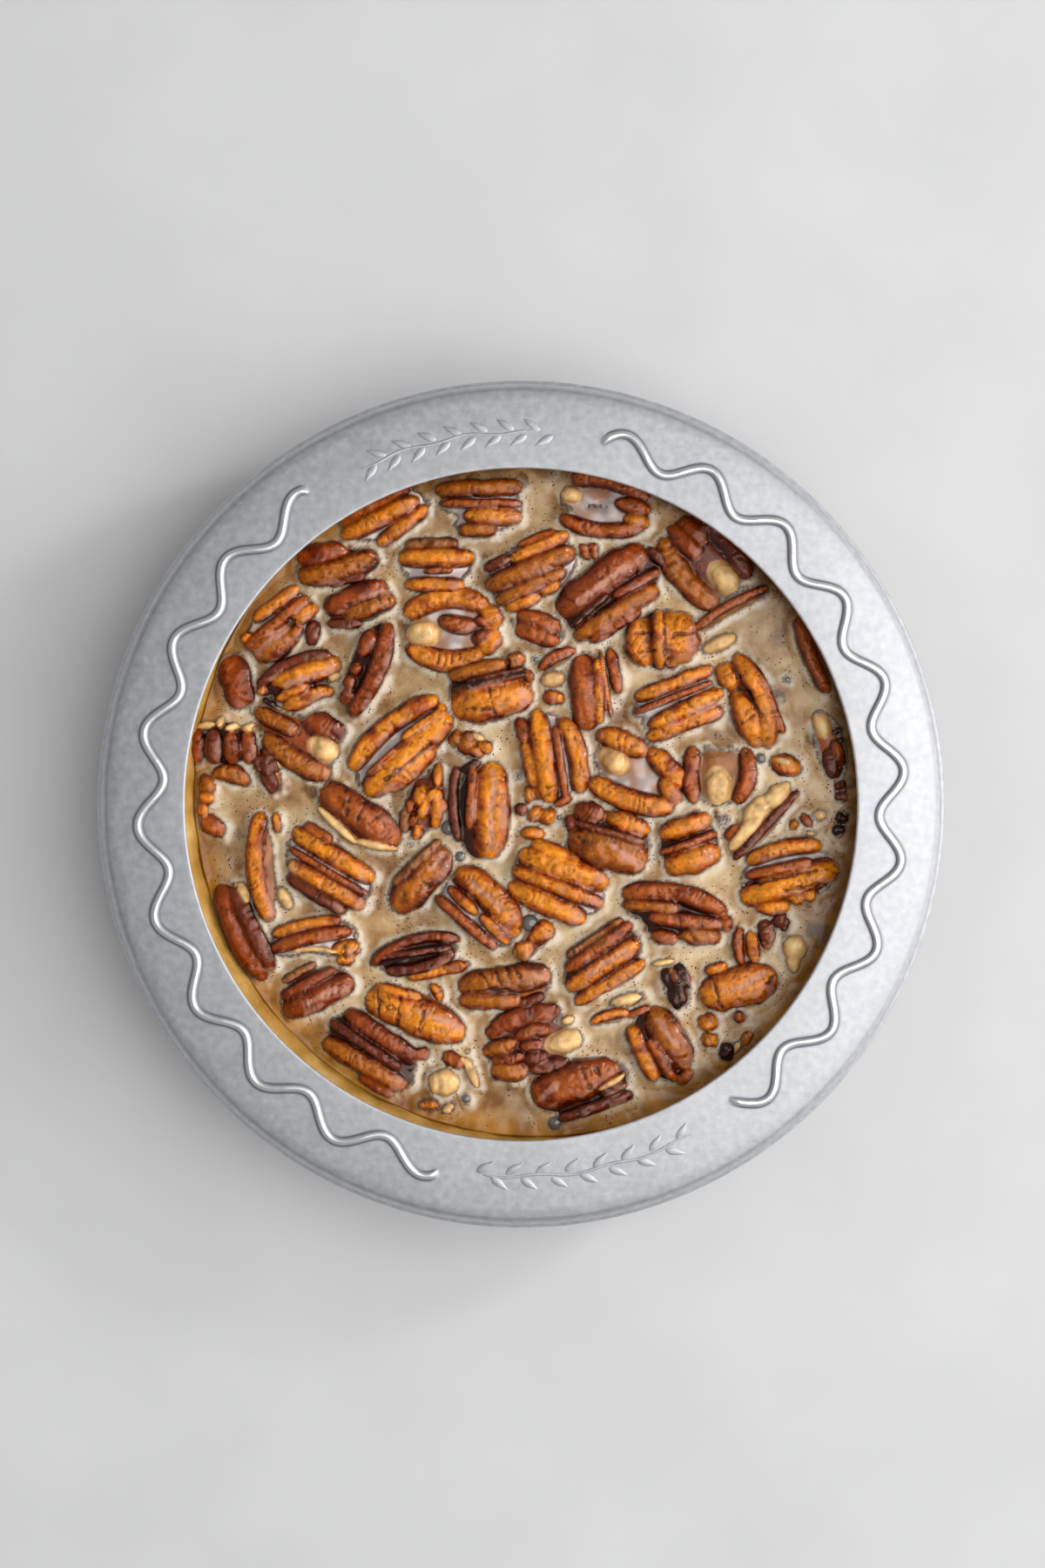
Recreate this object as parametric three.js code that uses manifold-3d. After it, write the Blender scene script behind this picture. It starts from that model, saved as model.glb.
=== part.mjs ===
// An unbaked pecan pie in its tin, with a metal crust shield resting on the rim of the dough.
// Millimetres, +Z up. The origin is on the table, under the middle of the tin.
import * as THREE from "three";
import { mergeVertices } from "three/addons/utils/BufferGeometryUtils.js";
import Module from "manifold-3d";

const wasm = await Module();
wasm.setup();

// ---- Driving dimensions ----

const gap = 0.3; // between pieces that touch
const liningGap = 0.5; // between round walls, whose facets differ

const tin = {
  sheet: 0.9,
  floorRadius: 83,
  cornerRadius: 87.2, // where the wall starts, above the rounded corner
  cornerHeight: 2.6,
  wallRadius: 106, // where the wall meets the flange
  rimRadius: 114.6, // middle of the rolled edge
  rollRadius: 1.5,
  depth: 31,
  facets: 36,
};

const dough = {
  floor: 5.7, // height of the dough's upper face above the table
  floorRadius: 80,
  footRadius: 85.5,
  footHeight: 8.4,
  wallRadius: 100.4, // inside the wall at the filling's level
  lean: 5, // how far the wall has slumped in on one side
  leanTowards: 205, // degrees round the pie
  rimHeight: 41.6,
  flutes: 24,
  facetsPerFlute: 3,
  fluteOut: 1.4,
  fluteUp: 0.9,
};

const filling = {
  level: 31.4,
  facets: 48,
};

const shield = {
  innerRadius: 97.4,
  outerRadius: 124,
  innerHeight: 45,
  shoulderRadius: 119,
  shoulderHeight: 41.8,
  lipHeight: 35.2,
  sheet: 0.8,
  facets: 48,
};

// Two raised wavy beads run round the shield, with plain metal between their ends.
const bead = {
  meanRadius: 107.6,
  swing: 3.8,
  width: 2.6,
  height: 0.9,
  sunk: 0.4,
  stepsPerWave: 5,
};
// Degrees round the ring: both ends, the first outward crest, and the length of one wave.
const beadRuns = [
  { start: 124.4, end: 257, crest: 126, wave: 14.33 },
  { start: -54.6, end: 77.2, crest: -50, wave: 13.78 },
];

// The four ways a nut lies. A section runs round the nut from its keel, as [across, up]; across is
// a share of half the width, and up a share of the rise above or the keel below the widest line.
const stations = [1, 0.78, 0, -0.78, -1];
const breadths = [0, 0.74, 1, 0.76, 0];
const kinds = {
  // the grooved back is up: two broad lobes, and a thin ridge between two grooves
  ridged: {
    section: [[0, -1], [0.72, -0.7], [1, 0], [0.68, 0.93], [0.3, 0.5], [0, 0.86], [-0.3, 0.5],
      [-0.68, 0.93], [-1, 0], [-0.72, -0.7]],
    rise: 0.31,
    keel: 0.24,
  },
  // the hollow side is up: two arms round a hollow, with the seed tip between their open ends
  cupped: {
    section: [[0, -1], [0.72, -0.7], [1, 0], [0.68, 0.9], [0, 0.2], [-0.68, 0.9], [-1, 0],
      [-0.72, -0.7]],
    middle: [0, 0.8, 0.15, 0.85, 0],
    rise: 0.2,
    keel: 0.22,
  },
  // on its edge: a bowed crescent, round on one side and flat on the other
  edge: {
    section: [[0.1, -1], [0.8, -0.6], [1, 0.1], [0.75, 0.8], [0.1, 1], [-0.6, 0.75], [-0.7, 0],
      [-0.5, -0.7]],
    rise: 0.5,
    keel: 0.38,
    bow: 1.8,
  },
  // broken, so that a pale face slopes down along one side
  broken: {
    section: [[0, -1], [0.72, -0.7], [1, 0], [0.68, 0.95], [0.05, 0.8], [-0.7, 0.35], [-1, 0],
      [-0.72, -0.7]],
    rise: 0.36,
    keel: 0.26,
  },
};

// Where each nut lies: [x, y, turn in degrees, length, width].
const nuts = {
  ridged: [
    [-38, 85.3, 29, 29, 12.4],
    [-12, 87, 0, 27, 16],
    [-25, 70.3, 2, 23, 14.5],
    [-47.5, 59, 16, 22.5, 12.5],
    [-54.6, 70.2, 7, 26, 11],
    [-71, 52.6, 40, 26, 15],
    [-65.2, 37.4, 23, 26.5, 14],
    [-83, 37, 95, 17, 8.5],
    [-35.1, 16.7, 42, 37, 16.8],
    [-9, 34.5, 11, 27, 17.5],
    [-12, -2, 89, 31, 15.5],
    [-28.2, 0.6, 76, 21, 12.5],
    [-56.8, -19.4, -32, 31, 17.5],
    [-60.8, -39.8, 8, 28, 13],
    [-60.5, -55, 24, 24, 12.5],
    [-31.4, -44, 10, 28, 11.5],
    [-30.2, -21.4, 46, 26, 11.5],
    [-12.2, -31.2, -43, 29.5, 16.5],
    [11, -23.4, -25, 31, 18.5],
    [25.7, -9.8, -17, 27.5, 17],
    [9.2, 14, -80, 28, 17.5],
    [19.8, 33.2, 92, 25, 12],
    [3.5, 68.7, 26, 30, 18.5],
    [27, 62.5, 36, 35.5, 18],
    [41.9, 48.4, 92, 19.5, 18],
    [68.4, 29.8, -66, 28, 14.5],
    [45.6, 29.4, 17, 28, 16],
    [49.5, -12, 18, 19, 16.5],
    [79, -21, 10, 31.5, 18],
    [45.6, -32.7, -9, 31, 16],
    [24, -46.4, 35, 28.5, 15.6],
    [-4.5, -53.3, 3, 29, 12],
    [63.5, -53.5, 20, 26, 12.5],
    [41.4, -70.8, -61, 24.5, 17],
    [17.7, -83, 19, 31, 15.5],
    [-31, -61.3, -20, 33, 13],
    [-43.5, -72.7, -36, 33, 17],
  ],
  cupped: [
    [-20.7, 51.5, 180, 29.5, 19],
    [-65.6, 18.2, -27, 26.5, 17],
    [-87.5, 1.6, 0, 15.5, 17.5],
    [24.5, 87.5, 170, 28, 17],
    [53.8, 71.8, -48, 30, 18],
    [34.5, 9.7, 145, 30.5, 20],
    [58.3, 8.8, -90, 20.5, 19],
    [2, -70.9, 15, 27, 18],
    [-20.5, -81.5, 180, 18, 15],
    [78, -39.5, -45, 18, 15],
    [91, 17, 105, 22, 10],
  ],
  edge: [
    [-43.2, 40.2, 67, 29, 13.5],
    [-77.3, -18.2, -84, 32, 9.5],
    [-82, -37.4, -65, 30, 10],
    [63, 56, 29, 26, 7],
    [84.5, 43.8, -68, 25, 7.5],
  ],
  broken: [
    [-48, -4.4, -33, 28, 12.5],
    [70.6, -4.8, 49, 28, 9.5],
    [-86.4, 17.8, 90, 13.5, 15.6],
  ],
};

const looks = {
  tinMetal: { color: 0xb9bcbf, roughness: 0.35, metalness: 1 },
  shieldMetal: { color: 0xc9cacc, roughness: 0.4, metalness: 1 },
  rawDough: { color: 0xe6c98d, roughness: 0.6, metalness: 0 },
  custard: { color: 0xbfa577, roughness: 0.2, metalness: 0 },
  nutSkin: { color: 0xa85f20, roughness: 0.3, metalness: 0 },
};

// ---- Shared helpers ----

const material = (look) => new THREE.MeshStandardMaterial(look);
const point = (radius, height) => new THREE.Vector2(radius, height);

// An open line moved sideways by a distance, to its left as it runs.
function offsetLine(line, distance) {
  return line.map((here, i) => {
    const before = line[Math.max(i - 1, 0)];
    const after = line[Math.min(i + 1, line.length - 1)];
    const inward = i > 0 ? here.clone().sub(before).normalize() : after.clone().sub(here).normalize();
    const outward = i < line.length - 1 ? after.clone().sub(here).normalize() : inward;
    const normal = point(-inward.y - outward.y, inward.x + outward.x).normalize();
    const stretch = 1 / Math.max(normal.dot(point(-outward.y, outward.x)), 0.4);
    return here.clone().addScaledVector(normal, distance * stretch);
  });
}

// A profile turned about the upright axis; shape(radius, height, angle, i) may move its i-th point.
function turned(profile, facets, shape = (radius, height) => [radius, height]) {
  const geometry = new THREE.LatheGeometry(profile, facets);
  const place = geometry.getAttribute("position");
  for (let n = 0; n < place.count; n++) {
    const angle = ((Math.floor(n / profile.length) % facets) / facets) * 2 * Math.PI;
    const along = n % profile.length;
    const [radius, height] = shape(profile[along].x, profile[along].y, angle, along);
    place.setXYZ(n, radius * Math.cos(angle), radius * Math.sin(angle), height);
  }
  return outwards(geometry);
}

// Turns every face round if the closed surface is inside out.
function outwards(geometry) {
  const corner = [0, 1, 2].map(() => new THREE.Vector3());
  const place = geometry.getAttribute("position");
  const order = geometry.index.array;
  let volume = 0;
  for (let i = 0; i < order.length; i += 3) {
    corner.forEach((c, k) => c.fromBufferAttribute(place, order[i + k]));
    volume += corner[0].dot(corner[1].clone().cross(corner[2]));
  }
  if (volume < 0)
    for (let i = 0; i < order.length; i += 3) [order[i], order[i + 1]] = [order[i + 1], order[i]];
  return geometry;
}

function solidOf(geometry) {
  const bare = geometry.clone();
  bare.deleteAttribute("normal");
  bare.deleteAttribute("uv");
  const merged = mergeVertices(bare, 1e-3);
  return new wasm.Manifold(
    new wasm.Mesh({
      numProp: 3,
      vertProperties: new Float32Array(merged.getAttribute("position").array),
      triVerts: new Uint32Array(merged.index.array),
    }),
  );
}

function geometryOf(solid) {
  const mesh = solid.getMesh();
  const geometry = new THREE.BufferGeometry();
  geometry.setAttribute("position", new THREE.BufferAttribute(mesh.vertProperties, mesh.numProp));
  geometry.setIndex(new THREE.BufferAttribute(mesh.triVerts, 1));
  geometry.computeVertexNormals();
  return geometry;
}

function named(name, geometry, look) {
  const mesh = new THREE.Mesh(geometry, material(look));
  mesh.name = name;
  return mesh;
}

// ---- The tin: a pressed sheet with a sloping wall, a flange and a rolled edge ----

const tinInside = [
  point(0, tin.sheet),
  point(tin.floorRadius, tin.sheet),
  point(tin.cornerRadius, tin.cornerHeight),
  point(tin.wallRadius, tin.depth),
  point(tin.rimRadius, tin.depth),
];

function makeTin() {
  const under = offsetLine(tinInside, -tin.sheet);
  const roll = new THREE.Path();
  roll.absarc(tin.rimRadius, tin.depth - tin.rollRadius, tin.rollRadius, -Math.PI * 0.9, Math.PI / 2);
  const edge = roll.getPoints(2).slice(0, -1);
  const profile = [...under.slice(0, -1), ...edge, ...tinInside.slice().reverse()];
  return named("pie_tin", turned(profile, tin.facets), looks.tinMetal);
}

// ---- The dough: lines the tin, and stands up round its rim in flutes ----

// How far the wall leans in from its radius, at an angle round the pie.
const leanIn = (angle) =>
  dough.lean * Math.max(0, Math.cos(angle - THREE.MathUtils.degToRad(dough.leanTowards))) ** 0.7;

const doughInside = [
  point(0, dough.floor),
  point(dough.floorRadius, dough.floor),
  point(dough.footRadius, dough.footHeight),
  point(dough.wallRadius, filling.level),
];

function makeDough() {
  const outside = offsetLine(tinInside.slice(0, -1), liningGap).reverse();
  const rim = [
    point(dough.wallRadius + 2.6, dough.rimHeight - 2.8),
    point(dough.wallRadius + 7, dough.rimHeight - 0.2),
    point(tin.rimRadius - 1.6, dough.rimHeight - 0.8),
    point(tin.rimRadius + 0.6, dough.rimHeight - 4),
    point(tin.rimRadius - 1, tin.depth + gap),
  ];
  const profile = [...doughInside, ...rim, ...outside];
  const level = doughInside.length - 1;
  const crest = level + 2.6; // the part of the rim that the flutes move most
  const facets = dough.flutes * dough.facetsPerFlute;
  const shape = (radius, height, angle, i) => {
    const flute = Math.cos(dough.flutes * angle) * Math.max(0, 1 - Math.abs(i - crest) / 2);
    const inner = i >= 2 && i <= level + 2 ? [0.5, 1, 0.8, 0.4][i - 2] : 0;
    return [radius - leanIn(angle) * inner + dough.fluteOut * flute, height + dough.fluteUp * flute];
  };
  return named("raw_crust", turned(profile, facets, shape), looks.rawDough);
}

// ---- The nuts ----

// A nut along X with its seed tip end at +X, its widest line at z = 0.
function nutGeometry({ section, middle, rise, keel, bow = 0 }, length, width) {
  const around = section.length;
  const along = stations.length - 1;
  const geometry = new THREE.SphereGeometry(1, around, along);
  const place = geometry.getAttribute("position");
  for (let n = 0; n < place.count; n++) {
    const row = Math.floor(n / (around + 1));
    const column = n % (around + 1) % around;
    const [across, up] = section[column];
    const lifted = middle && column === around / 2 ? middle[row] : up;
    const breadth = breadths[row];
    const height = lifted * breadth * width * (up < 0 ? keel : rise);
    const side = across * breadth * (width / 2) + bow * (breadth - 0.6);
    place.setXYZ(n, (stations[row] * length) / 2, side, height);
  }
  return outwards(geometry);
}

// The outline that a nut takes out of the filling, as an upright prism round its keel.
function nutPocket({ keel, bow = 0 }, length, width) {
  const side = (row, sign) =>
    point(
      stations[row] * (length / 2 + gap),
      sign * ((breadths[row] * width) / 2 + gap) + bow * (breadths[row] - 0.6),
    );
  const tip = (sign) => point(sign * (length / 2 + 2.4 * gap), bow * -0.6);
  const outline = new THREE.Shape([
    tip(1),
    ...[1, 2, 3].map((row) => side(row, 1)),
    tip(-1),
    ...[3, 2, 1].map((row) => side(row, -1)),
  ]);
  const depth = keel * width + gap;
  const geometry = new THREE.ExtrudeGeometry(outline, { depth: depth + 10, bevelEnabled: false });
  return geometry.translate(0, 0, -depth);
}

const floating = 0.4; // the widest line of a nut is this far above the filling

function placed(geometry, [x, y, turn]) {
  return geometry
    .rotateZ(THREE.MathUtils.degToRad(turn))
    .translate(x, y, filling.level + floating);
}

function makeNuts() {
  const made = [];
  for (const [kind, places] of Object.entries(nuts))
    places.forEach((place, i) => {
      const [, , , length, width] = place;
      const number = String(i + 1).padStart(2, "0");
      const geometry = placed(nutGeometry(kinds[kind], length, width), place);
      made.push(named(`nut_${kind}_${number}`, geometry, looks.nutSkin));
    });
  return made;
}

// ---- The filling: fills the dough up to its level, cut round each nut ----

function makeFilling() {
  const side = offsetLine(doughInside, liningGap);
  const top = point(side.at(-1).x, filling.level);
  const profile = [...side.slice(0, -1), top, point(0, filling.level)];
  const inner = [0, 0, 0.5, 1, 0];
  const body = turned(profile, filling.facets, (radius, height, angle, i) => [
    radius - leanIn(angle) * inner[i],
    height,
  ]);
  const pockets = Object.entries(nuts).flatMap(([kind, places]) =>
    places.map((place) => {
      const [, , , length, width] = place;
      return solidOf(outwards(mergeVertices(placed(nutPocket(kinds[kind], length, width), place))));
    }),
  );
  const pieces = solidOf(body).subtract(wasm.Manifold.union(pockets)).decompose();
  const [whole] = pieces.sort((one, other) => other.volume() - one.volume());
  return named("filling", geometryOf(whole), looks.custard);
}

// ---- The shield: a sloping ring with a turned-down outer lip and two raised wavy beads ----

const shieldTop = [
  point(shield.innerRadius, shield.innerHeight),
  point(shield.shoulderRadius, shield.shoulderHeight),
  point(shield.outerRadius - 1.3, shield.shoulderHeight - 2.2),
  point(shield.outerRadius, shield.lipHeight),
];

// Height of the shield's upper face at a radius inside its shoulder.
const shieldHeight = (radius) =>
  THREE.MathUtils.mapLinear(
    radius,
    shield.innerRadius,
    shield.shoulderRadius,
    shield.innerHeight,
    shield.shoulderHeight,
  );

class WavyLine extends THREE.Curve {
  constructor(run) {
    super();
    this.run = run;
  }
  getPoint(t, target = new THREE.Vector3()) {
    const { start, end, crest, wave } = this.run;
    const turn = THREE.MathUtils.lerp(start, end, t);
    const radius = bead.meanRadius + bead.swing * Math.cos(((turn - crest) / wave) * 2 * Math.PI);
    const angle = THREE.MathUtils.degToRad(turn);
    return target.set(radius * Math.cos(angle), radius * Math.sin(angle), shieldHeight(radius));
  }
}

function makeBead(run) {
  const half = bead.width / 2;
  // the line's normal, along which the section's first number runs, points down
  const section = new THREE.Shape([
    point(bead.sunk, -half),
    point(bead.sunk, half),
    point(-bead.height, 0),
  ]);
  const steps = Math.round(((run.end - run.start) / run.wave) * bead.stepsPerWave);
  const extrudePath = new WavyLine(run);
  return new THREE.ExtrudeGeometry(section, { steps, extrudePath, bevelEnabled: false });
}

function makeShield() {
  const under = offsetLine(shieldTop, -shield.sheet).reverse();
  const profile = [...shieldTop, ...under, shieldTop[0]];
  let solid = solidOf(turned(profile, shield.facets));
  for (const run of beadRuns) solid = solid.add(solidOf(outwards(mergeVertices(makeBead(run)))));
  return named("crust_shield", geometryOf(solid), looks.shieldMetal);
}

// ---- The whole pie ----

const pie = new THREE.Group();
pie.add(makeTin(), makeDough(), makeFilling(), ...makeNuts(), makeShield());

export default pie;
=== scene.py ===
# An unbaked pecan pie: raw dough in a metal tin, syrupy custard with pecans, and a crust shield.
import math
from collections import namedtuple

import bmesh
import bpy
import numpy as np
from mathutils import Matrix, Vector
from mathutils.bvhtree import BVHTree
from mathutils.kdtree import KDTree


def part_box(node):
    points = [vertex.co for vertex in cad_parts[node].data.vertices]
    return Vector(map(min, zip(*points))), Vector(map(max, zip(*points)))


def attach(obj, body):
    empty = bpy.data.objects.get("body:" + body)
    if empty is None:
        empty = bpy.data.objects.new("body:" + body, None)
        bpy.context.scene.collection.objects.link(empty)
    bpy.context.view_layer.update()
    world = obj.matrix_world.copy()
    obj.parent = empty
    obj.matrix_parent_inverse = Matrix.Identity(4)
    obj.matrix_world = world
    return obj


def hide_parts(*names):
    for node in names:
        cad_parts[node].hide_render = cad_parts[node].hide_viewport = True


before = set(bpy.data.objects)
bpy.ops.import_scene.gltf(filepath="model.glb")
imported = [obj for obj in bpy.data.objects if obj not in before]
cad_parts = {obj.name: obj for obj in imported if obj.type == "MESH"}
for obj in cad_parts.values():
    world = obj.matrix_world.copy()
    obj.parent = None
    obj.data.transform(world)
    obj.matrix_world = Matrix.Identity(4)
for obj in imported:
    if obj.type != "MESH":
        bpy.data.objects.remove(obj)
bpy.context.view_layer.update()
mm = 0.001
fullTurn = 2 * math.pi


# ---- Shared helpers ----


def linear(code):
    shares = [int(code[i : i + 2], 16) / 255 for i in (0, 2, 4)]
    return (*(s / 12.92 if s <= 0.04045 else ((s + 0.055) / 1.055) ** 2.4 for s in shares), 1)


def setInputs(tree, node, inputs):
    for key, value in inputs.items():
        if isinstance(value, bpy.types.NodeSocket):
            tree.links.new(value, node.inputs[key])
        else:
            node.inputs[key].default_value = value


# Adds a shader node; inputs are plain values or the sockets that feed them.
def addNode(tree, kind, inputs, **settings):
    node = tree.nodes.new("ShaderNode" + kind)
    for name, value in settings.items():
        setattr(node, name, value)
    setInputs(tree, node, inputs)
    return node


def place(tree):  # where a point of the piece lies
    return addNode(tree, "TexCoord", {}).outputs["Object"]


def painted(tree, name, output="Fac"):
    return addNode(tree, "Attribute", {}, attribute_name=name).outputs[output]


def perMetre(size):  # how often a pattern of this size in millimetres repeats in a metre
    return 1 / (size * mm)


# Noise with lumps of the given size in millimetres.
def noise(tree, where, size, detail=2, **more):
    inputs = {"Vector": where, "Scale": perMetre(size), "Detail": detail, **more}
    return addNode(tree, "TexNoise", inputs).outputs["Fac"]


def remap(tree, value, given, wanted):
    keys = ("Value", "From Min", "From Max", "To Min", "To Max")
    return addNode(tree, "MapRange", dict(zip(keys, (value, *given, *wanted)))).outputs["Result"]


def compute(tree, operation, *values, **settings):
    return addNode(tree, "Math", dict(enumerate(values)), operation=operation, **settings).outputs["Value"]


# A value between two others; their sockets on the node have the numbers 2 and 3.
def between(tree, share, first, second):
    return addNode(tree, "Mix", {0: share, 2: first, 3: second}).outputs[0]


def ramp(tree, share, *stops):
    node = addNode(tree, "ValToRGB", {"Fac": share})
    for i, (position, code) in enumerate(stops):
        colours = node.color_ramp.elements
        stop = colours[i] if i < 2 else colours.new(position)
        stop.position = position
        stop.color = linear(code)
    return node.outputs["Color"]


# Two colours mixed, as codes or sockets; on the node they have the numbers 6 and 7.
def blend(tree, share, first, second, **settings):
    if isinstance(second, str):
        second = linear(second)
    return addNode(tree, "Mix", {0: share, 6: first, 7: second}, data_type="RGBA", **settings).outputs[2]


def bump(tree, height, strength, depth):  # depth in millimetres
    inputs = {"Height": height, "Strength": strength, "Distance": depth * mm}
    return addNode(tree, "Bump", inputs).outputs["Normal"]


def newMaterial(name, **looks):
    material = bpy.data.materials.new(name)
    material.use_nodes = True
    tree = material.node_tree
    shader = tree.nodes["Principled BSDF"]
    for key, value in looks.items():
        shader.inputs[key.replace("_", " ")].default_value = value
    return material, tree, shader


# A smooth random value at each point (millimetres), about -2 to 2, with lumps of the given size.
def ripple(points, size, seed, waves=16):
    rng = np.random.default_rng(seed)
    ways = rng.normal(size=(waves, points.shape[1]))
    ways /= np.linalg.norm(ways, axis=1)[:, None]
    pitch = size * rng.uniform(0.75, 1.5, waves)
    shift = rng.uniform(0, fullTurn, waves)
    steps = points @ (ways * (fullTurn / pitch)[:, None]).T + shift
    return np.sin(steps).sum(1) / math.sqrt(waves / 2)


def smoothStep(low, high, value):
    share = np.clip((value - low) / (high - low), 0, 1)
    return share * share * (3 - 2 * share)


def readPoints(mesh):
    flat = np.empty(len(mesh.vertices) * 3)
    mesh.vertices.foreach_get("co", flat)
    return flat.reshape(-1, 3) / mm


def writePoints(mesh, points):
    mesh.vertices.foreach_set("co", (points * mm).ravel())
    mesh.update()


# What a painted attribute's values are called in Blender, and how many numbers each holds.
fields = {"FLOAT": ("value", 1), "FLOAT_VECTOR": ("vector", 3), "FLOAT_COLOR": ("color", 4)}


def writeAttribute(mesh, name, kind, values):
    mesh.attributes.new(name, kind, "POINT").data.foreach_set(fields[kind][0], values.ravel())


# Puts a mesh in the scene as a piece of the pie, with its finish, and hides the CAD parts it stands in for.
def finishPiece(name, mesh, material, nodes=()):
    mesh.name = name
    mesh.materials.clear()
    mesh.materials.append(material)
    mesh.shade_smooth()
    piece = bpy.data.objects.new(name, mesh)
    bpy.context.collection.objects.link(piece)
    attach(piece, "root")
    if nodes:
        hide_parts(*nodes)
    return piece


def meshOf(bm, name):
    mesh = bpy.data.meshes.new(name)
    bm.to_mesh(mesh)
    bm.free()
    return mesh


def meshInMillimetres(bm, name):  # the same for a mesh that was drawn in millimetres
    bmesh.ops.scale(bm, verts=bm.verts, vec=(mm, mm, mm))
    return meshOf(bm, name)


def facingOut(mesh, merge=1e-7):
    bm = bmesh.new()
    bm.from_mesh(mesh)
    bmesh.ops.remove_doubles(bm, verts=bm.verts, dist=merge)
    bmesh.ops.recalc_face_normals(bm, faces=bm.faces)
    bm.to_mesh(mesh)
    bm.free()
    return mesh


# Rolls a flat grid into rings round the pie, then lets shape(ring, angle) give each ring its radius
# and height in millimetres, which may change with the angle. The seam and the poles are merged.
def revolve(name, rings, steps, shape, closed=False):
    bm = bmesh.new()
    columns = rings if closed else rings - 1
    bmesh.ops.create_grid(bm, x_segments=columns, y_segments=steps, size=0.5)
    mesh = meshOf(bm, name)
    flat = readPoints(mesh) * mm + 0.5
    angle = flat[:, 1] * fullTurn
    ring = np.rint(flat[:, 0] * columns).astype(int) % rings
    radius, height = shape(ring, angle)
    writePoints(mesh, np.stack((radius * np.cos(angle), radius * np.sin(angle), height), 1))
    return facingOut(mesh)


# ---- Camera, light and floor ----

studio = {
    "eye": (0.43, 5.9, 801),  # straight above the pie, millimetres
    "lens": 60,
    "window": (1300, -200, 1250),  # middle of the big soft light on the right
    "windowSize": (1900, 3600),
    "windowPower": 46,
    "strip": (900, 420, 520),  # a smaller, brighter light that puts glints on what is wet
    "stripSize": (110, 160),
    "stripPower": 2.6,
    "room": "b4b5b8",  # light that comes from all round
    "roomStrength": 0.7,
}


def makeStudio():
    camera = bpy.data.objects.new("camera", bpy.data.cameras.new("camera"))
    camera.location = Vector(studio["eye"]) * mm
    camera.data.lens = studio["lens"]
    camera.data.sensor_width = 36
    camera.data.clip_start = 0.01
    bpy.context.collection.objects.link(camera)
    bpy.context.scene.camera = camera

    for name in ("window", "strip"):
        light = bpy.data.lights.new(name, "AREA")
        light.shape = "RECTANGLE"
        light.size, light.size_y = (side * mm for side in studio[name + "Size"])
        light.energy = studio[name + "Power"]
        lamp = bpy.data.objects.new(name, light)
        lamp.location = Vector(studio[name]) * mm
        lamp.rotation_euler = (-lamp.location).to_track_quat("-Z", "Y").to_euler()
        bpy.context.collection.objects.link(lamp)

    world = bpy.data.worlds.new("room")
    world.use_nodes = True
    sky = world.node_tree.nodes["Background"]
    sky.inputs["Color"].default_value = linear(studio["room"])
    sky.inputs["Strength"].default_value = studio["roomStrength"]
    bpy.context.scene.world = world
    bpy.context.scene.view_settings.view_transform = "Standard"

    # Smooth painted board: matt, with a trace of unevenness.
    paint, tree, shader = newMaterial("painted_board", Roughness=0.7)
    blotches = noise(tree, place(tree), 60, 3)
    setInputs(tree, shader, {"Base Color": ramp(tree, blotches, (0.3, "d8d8d7"), (0.7, "dfdfde"))})
    bm = bmesh.new()
    bmesh.ops.create_grid(bm, x_segments=8, y_segments=8, size=4)
    mesh = meshOf(bm, "floor")
    mesh.materials.append(paint)
    floor = bpy.data.objects.new("floor", mesh)
    bpy.context.collection.objects.link(floor)


makeStudio()
print("studio ready")


# ---- Metals ----


# Rolled aluminium sheet, tumbled after pressing: a soft grey glow with a fine mottle and a few
# hairline scratches. A painted highlight in near white runs along the crests of the beads, which are also
# less rough. Painted shade lies beside the beads and at the bend to the rolled lip.
def shieldAluminium():
    metal, tree, shader = newMaterial("tumbled_aluminium", Metallic=1.0)
    where = place(tree)
    mottle = noise(tree, where, 2.2, 5)
    crest = painted(tree, "crest")
    tone = ramp(tree, mottle, (0.3, "c2c3c6"), (0.72, "d8d8da"))
    # painted highlight: the crests of the beads are coloured near white
    tone = blend(tree, crest, tone, "fbfbfb")
    # painted shade: a dark grey line beside each bead and along the bend to the rolled lip
    tone = blend(tree, painted(tree, "foot"), tone, "85878c")
    matt = between(tree, crest, remap(tree, mottle, (0, 1), (0.56, 0.68)), 0.33)
    turned = addNode(tree, "Mapping", {"Vector": where, "Rotation": (0, 0, 0.7), "Scale": (0.05, 1, 1)})
    lines = noise(tree, turned.outputs["Vector"], 0.8, 6)
    relief = bump(tree, compute(tree, "ADD", lines, mottle), 0.16, 0.2)
    setInputs(tree, shader, {"Base Color": tone, "Roughness": matt, "Normal": relief})
    return metal


# Spun tinplate: faint turning rings and a duller, bluer grey than the shield.
def tinPlate():
    metal, tree, shader = newMaterial("spun_tinplate", Metallic=1.0)
    where = place(tree)
    rings = addNode(tree, "TexWave", {"Vector": where, "Scale": perMetre(1.2) / 6, "Distortion": 2.0},
                    wave_type="RINGS", rings_direction="Z").outputs["Fac"]
    dull = noise(tree, where, 9, 4)
    setInputs(tree, shader, {"Base Color": ramp(tree, dull, (0.3, "a9acb0"), (0.7, "c2c4c6")),
                             "Roughness": remap(tree, dull, (0, 1), (0.3, 0.45)),
                             "Normal": bump(tree, rings, 0.1, 0.1)})
    return metal


# ---- The tin ----

tin = {
    "sheet": 0.9,
    "steps": 256,
    # radius and height up the inside, from the middle of the floor to the flange
    "inside": [(0, 0.9), (80.6, 0.9), (83.2, 1.0), (85.6, 1.7), (87.2, 2.9), (88.1, 4.4), (105.2, 29.6),
               (106.3, 30.7), (107.8, 31), (114.6, 31)],
    "roll": 1.3,
}


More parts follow.
